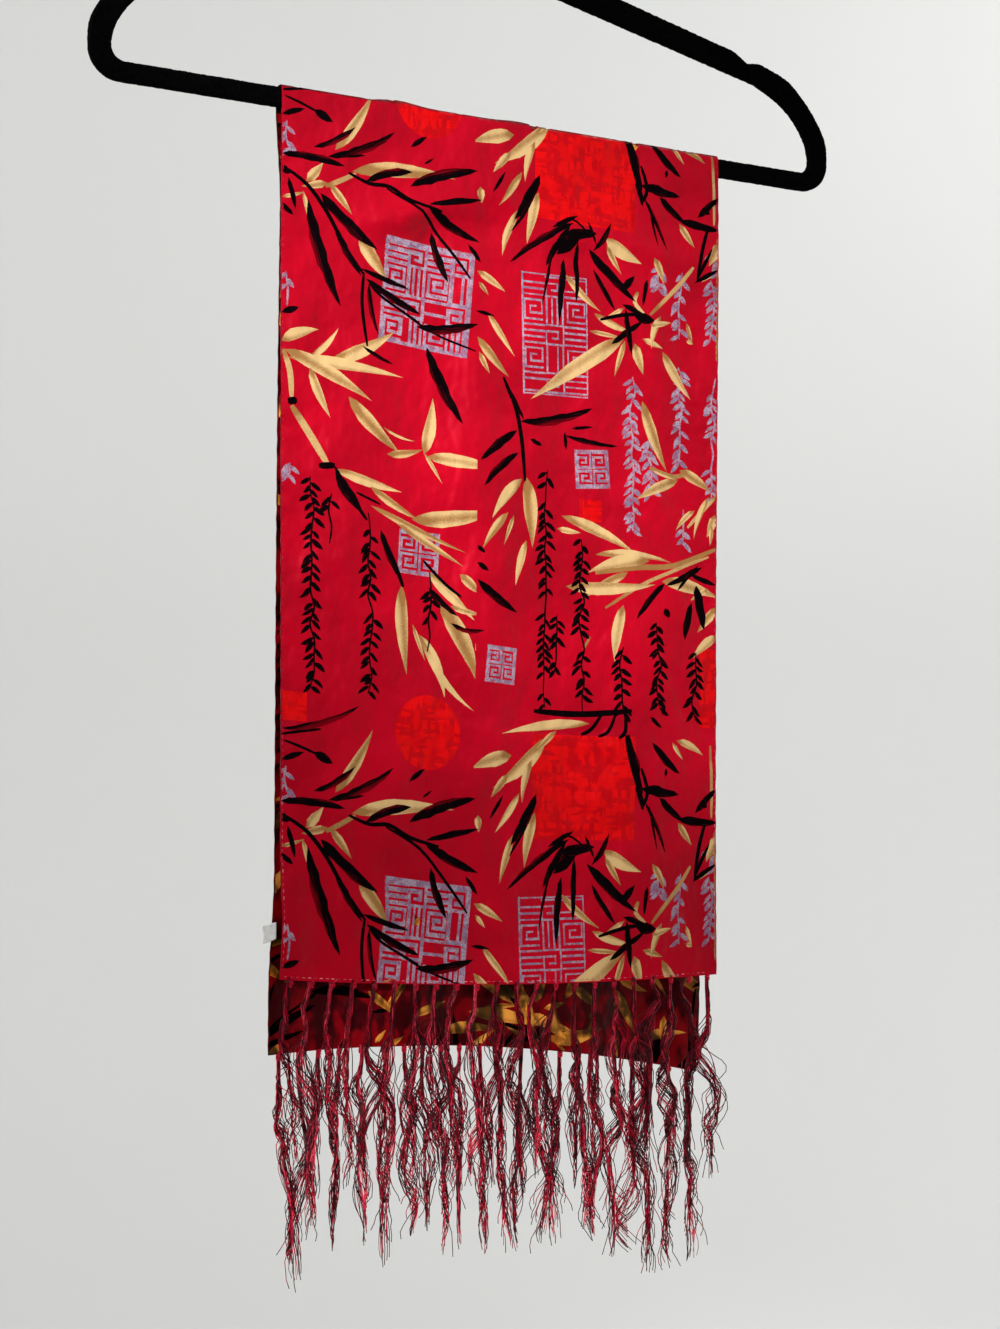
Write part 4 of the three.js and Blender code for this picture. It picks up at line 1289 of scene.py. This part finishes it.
def hook_wire():
    """The plated wire: from its rounded end over the crown, round and down into the neck."""
    turns = np.radians(np.linspace(205, -48, 90))
    crown = [(HOOK_RADIUS * math.cos(a), HOOK_CENTRE + HOOK_RADIUS * math.sin(a)) for a in turns]
    low = HOOK_CENTRE - HOOK_RADIUS
    neck = curve_through([crown[-1], (5, low - 2.5), (0.6, low - 10.5), (0, low - 20), (0, low - 30)], 8)[1:]
    stem = [(0, z) for z in np.linspace(low - 33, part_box("hook")[0].z / MM, 12)]
    line = np.array([(x, 0, z) for x, z in [*crown, *neck, *stem]])
    radii = np.full(len(line), WIRE_RADIUS)
    radii[:len(WIRE_END)] = WIRE_RADIUS * np.array(WIRE_END)
    points, faces = tubes(line[None], radii[None], WIRE_SIDES)
    made = mesh_object("hook_wire", points, faces)
    made.data.materials.append(wire_material())
    return made


# ---- Stage, lights and camera ----

# The stage and the lights are in metres.
FLOOR_Z = -1.5
STAGE_FLAT = 1.5  # radius of the first ring on the flat floor
STAGE_RADIUS = 5.0
STAGE_CURVE = 1.6
STAGE_TOP = 4.2
STAGE_SIDES = 96
STAGE_STEPS = 16


def stage():
    """A pale floor that curves up into a wall all round."""
    profile = [(0.0, FLOOR_Z), (STAGE_FLAT, FLOOR_Z), (STAGE_RADIUS - STAGE_CURVE, FLOOR_Z)]
    for step in range(1, STAGE_STEPS + 1):
        turn = step / STAGE_STEPS * math.pi / 2
        radius = STAGE_RADIUS - STAGE_CURVE + STAGE_CURVE * math.sin(turn)
        profile.append((radius, FLOOR_Z + STAGE_CURVE * (1 - math.cos(turn))))
    profile.append((STAGE_RADIUS, STAGE_TOP))
    sides = STAGE_SIDES
    points, faces = [(0, 0, FLOOR_Z)], []
    for radius, height in profile[1:]:
        for side in range(sides):
            turn = side / sides * 2 * math.pi
            points.append((radius * math.cos(turn), radius * math.sin(turn), height))
    for side in range(sides):
        faces.append((0, 1 + side, 1 + (side + 1) % sides))
    for ring in range(len(profile) - 2):
        for side in range(sides):
            a, b = 1 + ring * sides + side, 1 + ring * sides + (side + 1) % sides
            faces.append((a, a + sides, b + sides, b))
    made = mesh_object("stage_floor", points, faces, in_mm=False)
    material, tree, shader = new_material("stage_paint")
    cloud = noise(tree, own_place(tree), 0.7, 2)
    colour = blend(tree, cloud, (0.53, 0.535, 0.525, 1), (0.57, 0.57, 0.56, 1))
    set_inputs(tree, shader, {"Base Color": colour, "Roughness": 0.9, "Specular IOR Level": 0.1})
    made.data.materials.append(material)


# Spots that light the scarf: name, place, target, cone in degrees, power.
SPOTS = [
    ("key", (-1.45, -2.0, 0.7), (0.0, 0.0, -0.355), 12.5, 490),
    ("low_key", (-1.2, -2.2, 0.1), (0.0, 0.0, -0.84), 7.4, 520),
    ("back_key", (1.3, 2.1, 0.6), (0.0, 0.0, -0.42), 20.0, 290),
]
SPOT_SOFTNESS = 0.12  # radius of the lamp
# Discs that light the wall: name, place, target, power.
DISCS = [
    ("wall_left", (-1.8, 1.0, 2.2), (0.6, 5.0, -0.6), 138),
    ("wall_right", (3.0, 0.6, 2.2), (3.0, 4.2, -0.6), 132),
    ("wall_front", (1.2, -1.6, 2.2), (3.2, -4.0, -0.6), 50),
    ("wall_side", (-1.8, -0.2, 2.2), (-5.0, -0.6, -0.6), 50),
]
DISC_SIZE = 1.6


def add_light(kind, name, place, target, power, **settings):
    data = bpy.data.lights.new(name, kind)
    data.energy = power
    for key, value in settings.items():
        setattr(data, key, value)
    made = in_scene(name, data)
    made.location = place
    made.rotation_euler = (Vector(target) - Vector(place)).to_track_quat("-Z", "Y").to_euler()


def lights():
    """Spots whose light fades all the way from the middle of their cones, and wide discs for the wall."""
    for name, place, target, cone, power in SPOTS:
        add_light("SPOT", name, place, target, power,
                  spot_size=math.radians(cone), spot_blend=1.0, shadow_soft_size=SPOT_SOFTNESS)
    for name, place, target, power in DISCS:
        add_light("AREA", name, place, target, power, shape="DISK", size=DISC_SIZE)
    world = bpy.data.worlds.new("soft_room")
    world.use_nodes = True
    background = world.node_tree.nodes["Background"]
    background.inputs["Color"].default_value = (1.0, 0.99, 0.975, 1)
    background.inputs["Strength"].default_value = 0.12
    bpy.context.scene.world = world


CAMERA_PLACE = (-645.9, -1210.9, -634.1)
CAMERA_AZIMUTH = -28.43  # degrees
CAMERA_PITCH = 5.56  # degrees upwards
CAMERA_LENS = 70.43
CAMERA_SENSOR = 36.0


def camera():
    data = bpy.data.cameras.new("view")
    data.sensor_width = CAMERA_SENSOR
    data.lens = CAMERA_LENS
    data.clip_start = 0.05
    made = in_scene("view", data)
    made.location = Vector(CAMERA_PLACE) * MM
    made.rotation_euler = (math.radians(90 + CAMERA_PITCH), 0, math.radians(CAMERA_AZIMUTH))
    bpy.context.scene.camera = made
    bpy.context.scene.view_settings.view_transform = "Standard"


# ---- The whole ----

camera()
lights()
stage()

cloth_piece = scarf_cloth()
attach(cloth_piece, "root")
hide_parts("front_fall", "back_fall")

front_threads = fringe("front")
back_threads = fringe("back")
for threads, solid in ((front_threads, "front_fringe"), (back_threads, "back_fringe")):
    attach(threads, "root")
    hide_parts(solid)

stitches = seam_stitches()
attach(stitches, "root")

tape = care_tape()
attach(tape, "root")
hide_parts("care_label")

moulding = flocked_frame()
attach(moulding, "root")
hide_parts("hanger_frame")

wire = hook_wire()
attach(wire, "root")
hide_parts("hook")
